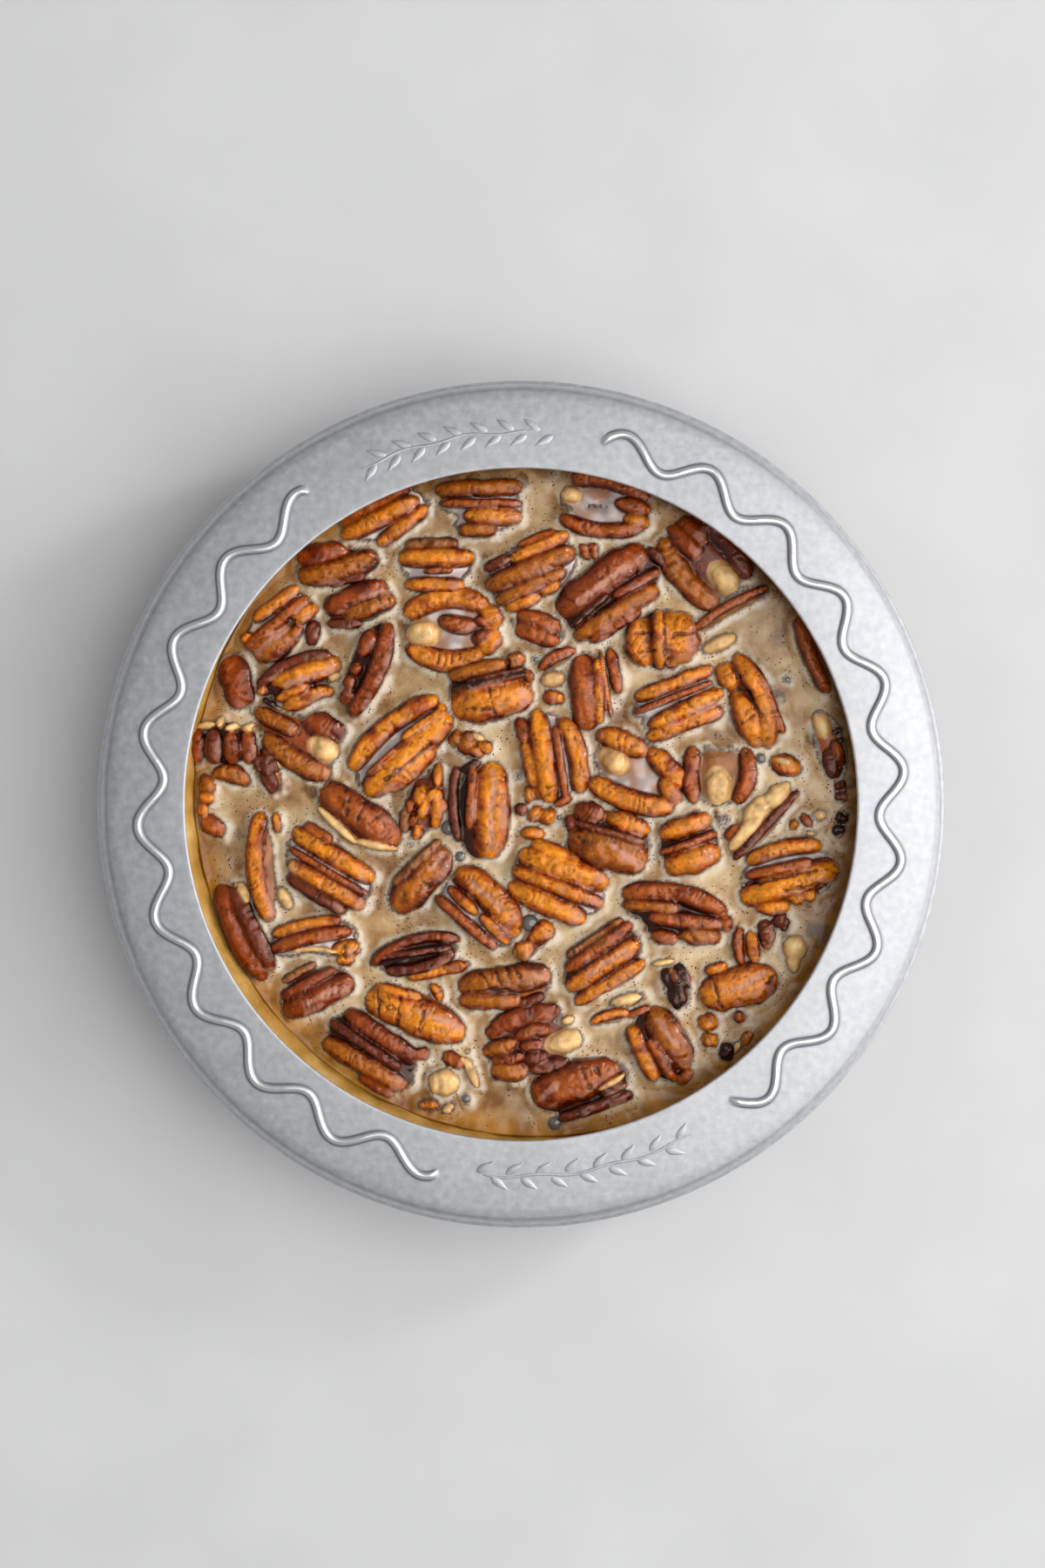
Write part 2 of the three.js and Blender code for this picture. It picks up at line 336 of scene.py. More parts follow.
def makeTin():
    inside = np.array(tin["inside"])
    along = np.gradient(inside, axis=0)
    along /= np.linalg.norm(along, axis=1)[:, None]
    outside = inside + np.stack((along[:, 1], -along[:, 0]), 1) * tin["sheet"]
    outside[0] = (0, 0)
    outside[outside[:, 1] < 0, 1] = 0
    bend = np.radians(np.linspace(80, -160, 9))
    middle = inside[-1] + (0.2, -tin["roll"])
    roll = middle + tin["roll"] * np.stack((np.cos(bend), np.sin(bend)), 1)
    line = np.concatenate((inside, roll, outside[-2::-1]))
    return revolve("tin", len(line), tin["steps"], lambda ring, angle: line[ring].T)


finishPiece("pressed_tin", makeTin(), tinPlate(), ["pie_tin"])
print("tin made")


# ---- The dough ----

dough = {
    "wallRadius": 100.4,
    "lean": 5.2,  # how far the wall has slumped in on one side
    "leanTowards": math.radians(214),
    "flutes": 24,
    "fluteOut": 1.4,
    "fluteUp": 0.9,
    "steps": 480,
    # radius, height, share of the slump, share of the flutes; from the floor over the rim and back
    "line": [(0, 5.7, 0, 0), (60, 5.7, 0, 0), (80, 5.9, 0, 0), (83.4, 6.8, 0.3, 0), (85.7, 8.6, 0.5, 0),
             (89.3, 14, 0.7, 0), (93.2, 20, 0.85, 0), (97, 26, 0.95, 0), (99.2, 29.4, 1, 0),
             (100.5, 31.6, 1, 0), (101.5, 33.6, 1, 0), (102.2, 35.8, 0.95, 0.1), (103, 38, 0.8, 0.2),
             (104.2, 39.9, 0.65, 0.3), (106, 41.1, 0.5, 0.4), (108, 41.5, 0.35, 0.6), (110.2, 41.4, 0.2, 0.8),
             (112.4, 40.9, 0.1, 1), (114, 39.7, 0, 1), (115, 38, 0, 1), (115.1, 36, 0, 0.8),
             (114.6, 34, 0, 0.5), (113.8, 32.4, 0, 0.2), (112.6, 31.35, 0, 0), (108, 31.35, 0, 0),
             (105.3, 30.6, 0, 0), (104.6, 29.6, 0, 0), (87.4, 4.6, 0, 0), (86, 2.9, 0, 0), (83, 1.6, 0, 0),
             (0, 1.4, 0, 0)],
}


def leanIn(angle):
    return dough["lean"] * np.maximum(0, np.cos(angle - dough["leanTowards"])) ** 1.3


def makeDough():
    line = np.array(dough["line"])

    def shape(ring, angle):
        radius, height, slump, fluted = line[ring].T
        flute = np.cos(dough["flutes"] * angle + 0.6 * np.sin(3 * angle)) * fluted
        around = np.stack((100 * np.cos(angle), 100 * np.sin(angle), height), 1)
        soft = np.where((ring > 6) & (ring < 23), 1.0, 0.0)
        uneven = 0.22 * ripple(around, 14, 3) + 0.1 * ripple(around, 5, 4)
        radius = radius - leanIn(angle) * slump + dough["fluteOut"] * flute + soft * uneven
        return radius, height + dough["fluteUp"] * flute + 0.5 * soft * uneven

    return revolve("dough", len(line), dough["steps"], shape)


# Raw shortcrust: matt, floury and pale, stained golden and wet where the syrup has reached it.
def rawShortcrust():
    pastry, tree, shader = newMaterial("raw_shortcrust", Subsurface_Weight=0.08,
                                       Subsurface_Radius=(0.004, 0.002, 0.001))
    where = place(tree)
    height = addNode(tree, "SeparateXYZ", {"Vector": where}).outputs["Z"]
    grain = addNode(tree, "TexNoise", {"Vector": where, "Scale": perMetre(0.9), "Detail": 4}).outputs
    tide = remap(tree, height, (32 * mm, 43 * mm), (0, 0.45))
    stain = compute(tree, "ADD", tide, noise(tree, where, 11, 5))
    tone = ramp(tree, stain, (0.42, "a87a30"), (0.68, "cfa055"), (0.95, "e6c88e"))
    tone = blend(tree, 0.35, tone, grain["Color"], blend_type="SOFT_LIGHT")
    setInputs(tree, shader, {"Base Color": tone, "Roughness": remap(tree, stain, (0.6, 1.1), (0.3, 0.7)),
                             "Normal": bump(tree, grain["Fac"], 0.5, 0.25)})
    return pastry


finishPiece("fluted_dough", makeDough(), rawShortcrust(), ["raw_crust"])
print("dough made")


# ---- The crust shield ----

shield = {
    "innerRadius": 97.4,
    "innerHeight": 45,
    "shoulderRadius": 119,
    "shoulderHeight": 41.8,
    "crown": 0.42,  # how far the ring bulges between the two
    "sheet": 0.8,
    "buckle": 0.05,  # how unevenly the sheet lies
    "steps": 1440,
    "beadRadius": 107.6,
    "beadSwing": 3.8,
    "beadWidth": 2.6,
    "beadHeight": 1.15,
    "clearance": 0.15,  # a bead is lower where it would come nearer than this to the solid ring's top
    # degrees round the ring: both ends of a bead, its first outward crest, and one wave
    "beads": [(124.4, 257, 126, 14.33), (-54.6, 77.2, -50, 13.78)],
    # inner edge, from the underside up; a bead's profile lies between it and the shoulder
    "hem": [(98.3, 44.05), (97.55, 44.3), (97.25, 44.65), (97.45, 45), (98, 45.02)],
    "profile": [-2.1, -1.65, -1.4, -1.22, -1.02, -0.75, -0.4, 0, 0.4, 0.75, 1.02, 1.22, 1.4, 1.65, 2.1],
    "underside": [113, 105],
    # outer edge, from the shoulder over the rolled lip to the underside
    "lip": [(119.9, 41.6), (120.8, 41.15), (121.6, 40.4), (122.2, 39.4), (122.6, 38.3), (122.85, 37.3),
            (123.4, 36.95), (123.85, 36.5), (124, 35.95), (123.75, 35.4), (123.2, 35.05), (122.5, 35.1),
            (122.0, 35.6), (121.9, 36.6), (121.75, 37.9), (121.3, 39.1), (120.5, 40.2), (119.4, 40.8)],
}


def shieldHeight(radius):
    share = (radius - shield["innerRadius"]) / (shield["shoulderRadius"] - shield["innerRadius"])
    fall = shield["innerHeight"] - shield["shoulderHeight"]
    return shield["innerHeight"] - fall * share + 4 * shield["crown"] * share * (1 - share)


# Radius of the bead's middle, how slanted it runs, and how far it is raised, at each angle.
def beadLine(angle):
    degrees = np.degrees(angle) % 360
    middle = np.full_like(degrees, shield["beadRadius"])
    slant = np.ones_like(degrees)
    raised = np.zeros_like(degrees)
    for start, end, crest, wave in shield["beads"]:
        mid, reach = (start + end) / 2, (end - start) / 2
        off = (degrees - mid + 180) % 360 - 180
        held = mid + np.clip(off, -reach, reach)
        phase = fullTurn * (held - crest) / wave
        inside = np.abs(off) - reach  # negative along the bead
        near = smoothStep(7, 0, inside)
        middle = middle + near * shield["beadSwing"] * np.cos(phase)
        slope = shield["beadSwing"] * np.sin(phase) * 360 / wave / shield["beadRadius"]
        slant = np.where(inside < 0, np.hypot(1, slope), slant)
        raised = np.maximum(raised, smoothStep(0.55, -0.75, inside))
    return middle, slant, raised


def makeShield():
    hem, across, lip, under = (np.array(shield[key]) for key in ("hem", "profile", "lip", "underside"))
    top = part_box("crust_shield")[1][2] / mm - shield["clearance"]
    flats = np.linspace(0, 1, 6)[1:-1]
    # the rings from the inside out: 0 hem, 1 flat, 2 bead, 3 flat, 4 lip, 5 underside
    parts = np.repeat(range(6), [len(run) for run in (hem, flats, across, flats, lip, under)])
    order = np.concatenate([np.arange(n) for n in np.bincount(parts)])

    def shape(ring, angle):
        middle, slant, raised = beadLine(angle)
        part = parts[ring]

        def entry(run):  # each ring's entry in a run, of use only where the ring belongs to that run
            return run[np.minimum(order[ring], len(run) - 1)]

        low = middle + across[0] * slant
        high = middle + across[-1] * slant
        share, step = entry(flats), entry(across)
        inner, outer = hem[-1, 0], shield["shoulderRadius"]
        radius = np.choose(part, [
            entry(hem)[:, 0], inner + share * (low - inner), middle + step * slant,
            high + share * (outer - high), entry(lip)[:, 0], entry(under)])
        face = shieldHeight(radius)
        below = face - shield["sheet"]
        height = np.choose(part, [entry(hem)[:, 1], face, face, face, entry(lip)[:, 1], below])
        bell = np.clip(1 - np.abs(step / shield["beadWidth"] * 2) ** 2.2, 0, 1)
        tall = np.minimum(shield["beadHeight"], top - shieldHeight(middle))
        height = height + np.where(part == 2, raised * tall * bell, 0)
        spot = np.stack((radius * np.cos(angle), radius * np.sin(angle)), 1)
        height = height + shield["buckle"] * ripple(spot, 42, 11) * (part < 4)
        return radius, height

    mesh = revolve("shield", len(parts), shield["steps"], shape, closed=True)
    x, y, z = readPoints(mesh).T
    radius = np.hypot(x, y)
    middle, slant, raised = beadLine(np.arctan2(y, x))
    raised = raised * (z > shieldHeight(radius) - 0.3)
    step = np.abs(radius - middle) / slant
    # where the highlight is painted along each bead's crest
    writeAttribute(mesh, "crest", "FLOAT", raised * np.exp(-((step / 0.6) ** 2)))
    # where painted shade goes: beside each bead, and along the bend where the ring turns down to its lip
    bend = 0.45 * np.exp(-(((radius - 120.5) / 0.6) ** 2)) * (z > 38)
    writeAttribute(mesh, "foot", "FLOAT", np.maximum(raised * np.exp(-(((step - 1.35) / 0.3) ** 2)), bend))
    return mesh


# Pressed leaf sprigs in the two gaps between the beads: a stem with leaves to either side in turn.
sprigs = {
    "arcs": [(86, 116), (264, 298)],  # degrees round the ring
    "radius": 107.8,
    "stem": 0.55,  # half its width
    "leaves": 15,
    "length": 6.2,
    "width": 2.3,
    "height": 0.5,
    "splay": 0.62,  # how far a leaf turns out from the stem
    "apart": 2.3,  # from the stem to the middle of a leaf
    "sway": 0.5,  # how far the stem swings to either side
    "slope": math.radians(8.4),  # how steeply the ring falls outwards
    "sunk": 0.08,  # how far a leaf's middle lies in the ring
}


def makeSprigs():
    bm = bmesh.new()
    for first, last in sprigs["arcs"]:
        for vert in bmesh.ops.create_grid(bm, x_segments=90, y_segments=8, size=1)["verts"]:
            share, round_ = (vert.co.x + 1) / 2, (vert.co.y + 1) * math.pi
            angle = math.radians(first + (last - first) * share)
            thick = sprigs["stem"] * math.sqrt(max(1 - (2 * share - 1) ** 6, 0))
            radius = sprigs["radius"] + sprigs["sway"] * math.sin(6 * math.pi * share)
            radius += thick * math.cos(round_)
            height = float(shieldHeight(radius)) - 0.1 + 0.8 * thick * math.sin(round_)
            vert.co = (radius * math.cos(angle), radius * math.sin(angle), height)
        for i in range(sprigs["leaves"]):
            angle = math.radians(first + (last - first) * (i + 0.2) / sprigs["leaves"])
            side = 1 if i % 2 else -1
            leaf = bmesh.ops.create_uvsphere(bm, u_segments=20, v_segments=12, radius=1)["verts"]
            for vert in leaf:
                x, y, z = vert.co
                slim = (1 - 0.5 * x) * (1 - 0.3 * x * x)  # narrower towards its tip
                vert.co = (x * sprigs["length"] / 2, y * sprigs["width"] / 2 * slim, z * sprigs["height"])
            radius = sprigs["radius"] + side * sprigs["apart"]
            lay = Matrix.Rotation(angle + math.pi / 2 - side * sprigs["splay"], 3, "Z")
            slope = Matrix.Rotation(sprigs["slope"], 3, Vector((-math.sin(angle), math.cos(angle), 0)))
            bmesh.ops.transform(bm, matrix=(slope @ lay).to_4x4(), verts=leaf)
            height = float(shieldHeight(radius)) - sprigs["sunk"]
            spot = (radius * math.cos(angle), radius * math.sin(angle), height)
            bmesh.ops.translate(bm, verts=leaf, vec=spot)
    return facingOut(meshInMillimetres(bm, "sprigs"), 1e-6)


shieldMetal = shieldAluminium()
finishPiece("shield_ring", makeShield(), shieldMetal, ["crust_shield"])
finishPiece("shield_sprigs", makeSprigs(), shieldMetal)
print("shield made")


# ---- The nuts ----

level = 31.4  # height of the custard

# Skins of ridges, and what shows between them.
skins = {
    "gold": linear("f1901a"),
    "amber": linear("e5861e"),
    "rust": linear("b2571a"),
    "plum": linear("74301a"),
    "dark": linear("2e120b"),
    "muted": linear("a86c3c"),
    "cream": linear("f7c985"),
    "umber": linear("b3620f"),
    "russet": linear("9a420e"),
    "milky": linear("e4d3cb"),
    "open": linear("cbb08a"),
    # custard smear, with a painted pink sheen on it
    "smear_and_sheen": linear("c98f76"),
}

# Each nut: how it is turned, what shows in its grooves, its ridges, and marks on some. A ridge runs
# from one point to another, x along the nut and y to its left, in hundredths of the way to the nut's
# edge; then comes half its width, its skin and, if it is bowed, the y that its middle reaches. A mark
# runs likewise: a cut is a crack in the skin with painted shade in it, a smear a shallow groove with
# custard left in it and a painted pink sheen on it.
nutShapes = {
    "ridged_01": (29, "milky", [(-115, 20, 57, 2, 34, "amber"), (-57, -95, 70, -55, 26, "amber"),
        (-110, 80, 55, 75, 30, "rust")]),
    "ridged_02": (0, "milky", [(-100, 65, 93, 80, 24, "umber"), (-84, 15, 93, 16, 12, "rust"),
        (-32, -28, 90, -33, 24, "amber"), (-48, -82, 35, -82, 20, "umber")]),
    "ridged_03": (2, "milky", [(-95, 35, 100, 25, 30, "amber"), (-80, 85, 60, 85, 20, "muted"),
        (-83, -75, 72, -85, 22, "amber"), (-30, -25, 40, -25, 10, "rust")]),
    "ridged_04": (16, "plum", [(-95, 20, 85, 50, 42, "russet"), (-45, -38, 95, -20, 36, "umber"),
        (-95, -50, -10, -98, 17, "plum")], [(40, 10, 90, 20, "smear_and_sheen"), (-30, 5, 50, 5, "cut")]),
    "ridged_05": (7, "dark", [(-90, 60, 30, 75, 48, "russet"), (-90, -40, 105, 30, 48, "umber", -25),
        (-20, -100, 65, -80, 15, "plum"), (60, -35, 95, -10, 12, "dark")]),
    "ridged_06": (40, "milky", [(-37, 80, 90, 65, 20, "amber"), (-93, 15, 93, 12, 18, "rust"),
        (-93, -30, 20, -60, 45, "umber"), (0, -65, 35, -60, 15, "rust"), (-90, 45, -64, 45, 15, "amber"),
        (30, -30, 95, -35, 22, "amber")], [(-80, -30, 5, -35, "smear_and_sheen"), (25, -10, 30, -60, "cut")]),
    "ridged_07": (23, "dark", [(-95, 25, 85, 30, 20, "plum", 68), (-55, 15, 100, -10, 36, "gold"),
        (-65, -50, 10, -50, 18, "amber"), (-60, -95, 45, -90, 25, "amber"),
        (30, -105, 60, -105, 16, "gold"), (58, -60, 86, -60, 16, "cream"), (-100, 10, -80, 10, 15, "amber"),
        (-95, -25, -65, -100, 8, "dark")], [(-30, -15, 70, -25, "smear_and_sheen"), (20, -30, 25, -80, "cut")]),
    "ridged_08": (95, "umber", [(-120, -20, 95, 60, 80, "russet")]),
    "ridged_09": (42, "milky", [(-85, 60, 95, 40, 26, "gold", 88), (-70, 10, -10, 10, 7, "rust"),
        (10, 20, 85, 0, 13, "gold"), (-94, -38, 92, -32, 36, "gold"), (-65, -72, 40, -75, 30, "gold"),
        (68, -30, 95, 20, 15, "gold")], [(-55, -50, 35, -62, "cut"), (-30, -55, 20, -60, "smear_and_sheen")]),
    "ridged_10": (11, "dark", [(-87, 60, 45, 68, 20, "umber"), (45, 70, 87, 75, 20, "umber"),
        (-84, 12, 90, 20, 8, "dark"), (-50, 32, 80, 40, 5, "plum"), (-97, -45, 93, -45, 50, "amber"),
        (85, 30, 90, -10, 12, "rust")], [(-5, -10, -2, -95, "cut"), (45, 50, 45, 95, "cut"),
        (-60, -60, -10, -75, "cut")]),
    "ridged_11": (89, "dark", [(-60, 78, 85, 90, 13, "plum", 105), (-35, 42, 85, 30, 13, "rust"),
        (-93, -40, 98, -45, 50, "gold"), (75, 75, 95, 5, 12, "dark")], [(-70, -42, 70, -50, "smear_and_sheen")]),
    "ridged_12": (76, "plum", [(-100, 60, -30, 85, 20, "muted"), (-10, 25, 40, 30, 28, "amber"),
        (-45, 5, 0, -5, 20, "gold"), (-110, 0, -70, 0, 20, "amber"), (-65, -75, 40, -50, 22, "amber"),
        (50, -40, 115, -15, 18, "amber"), (-40, 55, -5, 75, 16, "rust"), (5, -10, 40, -35, 18, "gold"),
        (-75, 35, -45, 30, 14, "rust"), (-15, -95, 20, -80, 14, "rust")]),
    "ridged_13": (-32, "milky", [(-98, 50, 85, 55, 25, "gold"), (-85, 90, -20, 90, 14, "rust"),
        (-85, -5, 90, 0, 10, "rust"), (-68, -50, 96, -40, 23, "amber"), (-68, -50, -45, -50, 24, "cream"),
        (-60, -88, 72, -86, 20, "plum")]),
    "ridged_14": (8, "milky", [(-87, 45, 62, 70, 20, "amber", 75), (-97, -20, 78, 15, 24, "rust", 12),
        (-50, -42, 50, -80, 13, "cream", -42), (40, -60, 95, -65, 30, "gold"),
        (40, -110, 80, -110, 22, "gold")], [(62, -50, 60, -110, "cut"), (80, -90, 100, -50, "cut")]),
    "ridged_15": (24, "plum", [(-65, 105, 30, 120, 15, "muted"), (-83, 40, 65, 60, 20, "russet"),
        (-100, -35, 100, -25, 45, "russet")], [(-20, -30, 50, -35, "smear_and_sheen")]),
    "ridged_16": (10, "dark", [(-96, -20, 100, 30, 20, "russet", 75), (-60, 15, 80, 0, 12, "plum"),
        (-65, -60, 87, -25, 22, "plum", -75)]),
    "ridged_17": (46, "milky", [(-100, -30, 95, -15, 65, "umber"), (-50, 65, 95, 50, 20, "muted")], [
        (0, -35, 2, -75, "cut"), (35, -20, 75, -15, "smear_and_sheen")]),
    "ridged_18": (-43, "milky", [(-88, 40, 90, 20, 40, "amber", 65), (-74, -15, 0, -15, 15, "amber"),
        (10, -10, 88, -15, 15, "amber"), (-83, -70, 77, -60, 16, "rust")], [(-55, 55, 30, 60, "smear_and_sheen")]),
    "ridged_19": (-25, "milky", [(-93, 35, 87, 65, 30, "gold"), (-80, 85, 20, 85, 20, "gold"),
        (-93, -20, 96, 0, 18, "amber"), (-87, -75, 75, -70, 28, "gold")]),
    "ridged_20": (-17, "dark", [(-88, 60, -22, 70, 27, "russet"), (-13, 70, 80, 60, 27, "amber"),
        (-80, 15, 76, 20, 10, "plum"), (-85, -45, 100, -40, 52, "umber"),
        (-95, 35, -80, -10, 16, "plum")], [(-62, -30, -52, -42, "cut"), (10, -20, 75, -60, "smear_and_sheen")]),
    "ridged_21": (-80, "milky", [(-78, 50, 87, 65, 25, "amber", 85), (-62, 25, 93, 20, 10, "rust"),
        (-105, -25, 96, -35, 27, "gold"), (-93, -85, -40, -82, 17, "rust"),
        (-40, -83, 56, -75, 17, "amber"), (90, 40, 102, -20, 12, "rust")]),
    "ridged_22": (92, "rust", [(-97, 15, 87, 30, 50, "rust"), (-77, -50, 77, -50, 20, "gold"),
        (-63, -108, 97, -65, 8, "gold")]),
    "ridged_23": (26, "milky", [(-30, 60, 95, 55, 18, "amber"), (-5, 90, 75, 80, 12, "rust"),
        (-85, 70, -30, 70, 14, "plum"), (-98, 15, 90, 0, 25, "umber"), (-93, -40, 55, -47, 18, "umber"),
        (-80, -75, -10, -85, 15, "amber"), (-5, -80, 35, -75, 13, "amber")]),
    "ridged_24": (36, "dark", [(-98, 45, 88, 55, 44, "russet"), (-5, -15, 83, -35, 12, "russet"),
        (-98, -50, 66, -78, 24, "umber"), (-80, -90, 20, -102, 14, "russet"), (90, 50, 95, -30, 12, "plum"),
        (-90, -12, -10, 2, 8, "dark")], [(-60, 35, 50, 40, "smear_and_sheen")]),
    "ridged_25": (92, "dark", [(-75, 50, 62, 62, 32, "amber", 85), (-85, 14, 90, 12, 20, "amber"),
        (-78, -50, 85, -45, 50, "amber")], [(-90, -3, 95, -3, "cut"), (10, -35, 15, -98, "cut"),
        (-40, 90, -35, 35, "cut"), (20, 95, 20, 35, "cut")]),
    "ridged_26": (-66, "plum", [(-50, 70, 85, 60, 12, "rust"), (-110, 5, 100, -25, 32, "amber", 36),
        (-105, -50, -48, -55, 34, "amber"), (-32, -50, 93, -45, 42, "amber")], [(-38, -20, -40, -90, "cut"),
        (-90, -20, 30, 0, "cut"), (25, -25, 30, -80, "cut")]),
    "ridged_27": (17, "milky", [(-80, 65, 100, 87, 20, "amber"), (-93, 15, 87, 38, 10, "rust"),
        (-65, -50, 102, -5, 24, "gold"), (-80, -87, 93, -70, 22, "amber")], [(20, -45, 90, -40, "smear_and_sheen")]),
    "ridged_28": (18, "dark", [(-78, 68, 92, 68, 28, "amber"), (-96, 5, 96, 10, 10, "rust"),
        (-96, -53, 87, -53, 38, "amber")]),
    "ridged_29": (10, "milky", [(-75, 68, 70, 77, 20, "gold", 92), (-80, 24, 44, 34, 13, "rust"),
        (-100, -48, 94, 0, 35, "gold"), (-72, -87, -10, -97, 20, "gold"), (-5, -80, 15, -77, 16, "gold"),
        (18, -75, 42, -75, 16, "gold")], [(-90, -5, 50, 5, "cut"), (-20, -40, 80, -50, "cut")]),
    "ridged_30": (-9, "dark", [(-110, 43, 95, 33, 27, "rust", 82), (-105, 10, 0, 27, 17, "umber"),
        (-50, -20, 90, -10, 20, "rust"), (-42, -87, 10, -87, 20, "rust"), (14, -72, 92, -50, 25, "umber"),
        (90, 30, 100, -30, 20, "rust")]),
    "ridged_31": (35, "dark", [(-55, 95, 85, 90, 12, "muted"), (-73, 55, 97, 55, 20, "rust"),
        (-92, -5, 85, -17, 27, "amber"), (-97, -67, 73, -90, 20, "amber")], [(-40, -5, 50, -12, "smear_and_sheen"),
        (78, 40, 80, -20, "cut")]),
    "ridged_32": (3, "rust", [(-100, 0, 98, 42, 50, "umber", 30), (-100, -60, 30, -80, 34, "umber"),
        (18, -108, 78, -58, 20, "plum")], [(-50, 70, -35, 15, "cut"), (-20, 80, -10, 10, "cut"),
        (2, 90, 12, 20, "cut"), (20, 85, 30, 30, "cut"), (-75, -20, 10, -20, "cut"),
        (60, 45, 85, 20, "smear_and_sheen")]),
    "ridged_33": (20, "rust", [(-90, 10, 100, -25, 72, "amber")], [(-47, 75, -52, -70, "cut"),
        (-30, -10, 65, 12, "smear_and_sheen"), (60, -35, 95, -10, "cut")]),
    "ridged_34": (-61, "dark", [(-92, 30, 78, 40, 42, "umber"), (-28, -30, 92, -20, 15, "rust"),
        (-78, -66, 70, -77, 22, "amber"), (85, 50, 100, -15, 15, "rust")], [(-60, 30, 10, 45, "smear_and_sheen")]),
    "ridged_35": (19, "dark", [(-100, 22, 76, 25, 54, "rust"), (30, -30, 85, -10, 14, "cream"),
        (-60, -90, 90, -90, 17, "plum"), (30, -50, 85, -45, 12, "plum")], [(10, 75, 15, -10, "cut"),
        (35, 60, 40, 20, "cut"), (-80, 10, -40, 40, "smear_and_sheen")]),
    "ridged_36": (-20, "rust", [(-95, -5, 100, -25, 62, "gold"), (-84, 50, 0, 73, 20, "amber")], [
        (-78, 35, -60, -60, "cut"), (-35, 40, -25, -65, "cut"), (12, 30, 15, -70, "cut"),
        (5, 15, 85, 5, "smear_and_sheen"), (-60, -20, -30, -10, "cut")]),
    "ridged_37": (-36, "dark", [(-82, 56, 72, 66, 25, "russet"), (62, 75, 84, 110, 17, "russet"),
        (-95, 0, 58, 10, 13, "plum"), (-84, -70, 84, -36, 26, "umber"), (5, -95, 74, -82, 15, "russet")]),
    "cupped_01": (180, "milky", [(-65, 75, 90, 50, 25, "amber", 100), (-95, 5, -60, 75, 25, "amber"),
        (-95, -5, -68, -70, 25, "amber"), (-78, -62, 95, -35, 26, "amber", -100),
        (-85, 12, -45, 32, 15, "rust"), (-85, -20, -50, -25, 13, "rust"), (30, 10, 95, 24, 42, "cream"),
        (-50, -12, 20, -30, 20, "rust", -12)]),
    "cupped_02": (-27, "russet", [(-10, 90, 95, 85, 35, "russet"), (-135, 30, -10, 30, 22, "umber"),
        (-75, -35, 110, -45, 30, "umber", -62), (35, 25, 97, 25, 50, "cream")]),
    "cupped_03": (0, "open", [(-95, 40, -35, 50, 27, "umber"), (-40, 75, 100, 42, 24, "umber", 85),
        (-90, 8, -35, 2, 18, "amber"), (-100, -35, -60, -40, 20, "amber"),
        (-90, -65, 10, -120, 24, "rust")]),
    "cupped_04": (170, "milky", [(-90, 40, 90, 60, 20, "rust", 85), (-100, 30, -50, 30, 20, "amber"),
        (-100, -15, -25, -20, 20, "rust"), (-90, -50, 80, -70, 25, "rust", -95),
        (56, -20, 94, -20, 28, "cream")]),
    "cupped_05": (-48, "plum", [(-90, 70, 90, 60, 28, "plum", 100), (-95, 30, -25, 40, 26, "russet"),
        (-97, -10, -10, -5, 26, "russet"), (-90, -50, 95, -60, 32, "umber", -90),
        (25, 10, 90, 10, 44, "cream")]),
    "cupped_06": (145, "milky", [(-100, 25, 75, 100, 25, "amber", 90), (-100, 10, -50, -20, 22, "amber"),
        (-90, -45, 5, -70, 25, "amber"), (10, -60, 110, -25, 25, "amber"), (90, -25, 110, -25, 16, "plum"),
        (26, 17, 74, 17, 36, "cream")]),
    "cupped_07": (-90, "muted", [(-75, 75, 85, 50, 20, "rust", 90), (-80, -75, 85, -75, 20, "rust", -90),
        (-10, -5, 95, -5, 40, "cream")]),
    "cupped_08": (15, "plum", [(-85, 60, 95, 70, 27, "russet", 95), (85, 45, 112, 45, 14, "cream"),
        (-100, 12, -25, 20, 20, "umber"), (-95, -45, -15, -85, 27, "umber"),
        (-85, -20, -15, -30, 17, "russet"), (-10, -80, 80, -85, 18, "plum"),
        (-20, 32, 55, 28, 17, "rust", 42), (-15, 2, 30, -5, 15, "russet"), (-15, -42, 35, -50, 17, "plum"),
        (42, -20, 142, -20, 38, "cream")]),
    "cupped_09": (180, "open", [(-85, 25, -35, -90, 20, "cream", -50), (-40, -60, 30, -110, 22, "rust"),
        (0, 115, 30, 115, 14, "cream"), (55, 95, 85, 95, 15, "amber"), (-25, 5, 80, 5, 54, "cream"),
        (30, 10, 75, 5, 45, "cream")]),
    "cupped_10": (-45, "open", [(-95, -10, -20, -70, 25, "plum"), (-80, 35, -40, 35, 25, "plum"),
        (30, -12, 100, -72, 27, "cream"), (5, 0, 85, 0, 50, "cream")]),
    "cupped_11": (105, "rust", [(-90, 20, -10, 20, 35, "plum"), (-60, -35, 10, -30, 30, "rust"),
        (30, 15, 105, 15, 50, "cream")]),
    "edge_01": (67, "dark", [(-110, -10, 95, -5, 36, "russet", -55), (-95, 35, -60, 42, 24, "russet"),
        (-62, 55, -35, 55, 22, "russet"), (-30, 50, -5, 45, 20, "russet"), (10, 50, 70, 50, 30, "russet")]),
    "edge_02": (-84, "muted", [(-98, 35, 105, 20, 50, "amber", -55), (-95, 130, -55, 130, 25, "amber")], [
        (-30, 40, 90, 35, "smear_and_sheen")]),
    "edge_03": (-65, "plum", [(-100, -25, 105, -30, 60, "russet", -75), (-85, 35, 95, 45, 45, "plum"),
        (-90, 90, -50, 90, 40, "cream")]),
    "edge_04": (29, "muted", [(-105, 10, 95, 25, 35, "rust", 60)]),
    "edge_05": (-68, "rust", [(-90, 0, 100, 0, 50, "rust", -35)]),
    "broken_01": (-33, "rust", [(-105, 30, 105, 15, 60, "rust"), (-85, -55, 25, -100, 22, "cream"),
        (20, -95, 105, -15, 22, "cream")], [(-40, 70, -25, -10, "cut"), (-5, 80, 0, 0, "cut"),
        (35, 80, 25, 10, "cut")]),
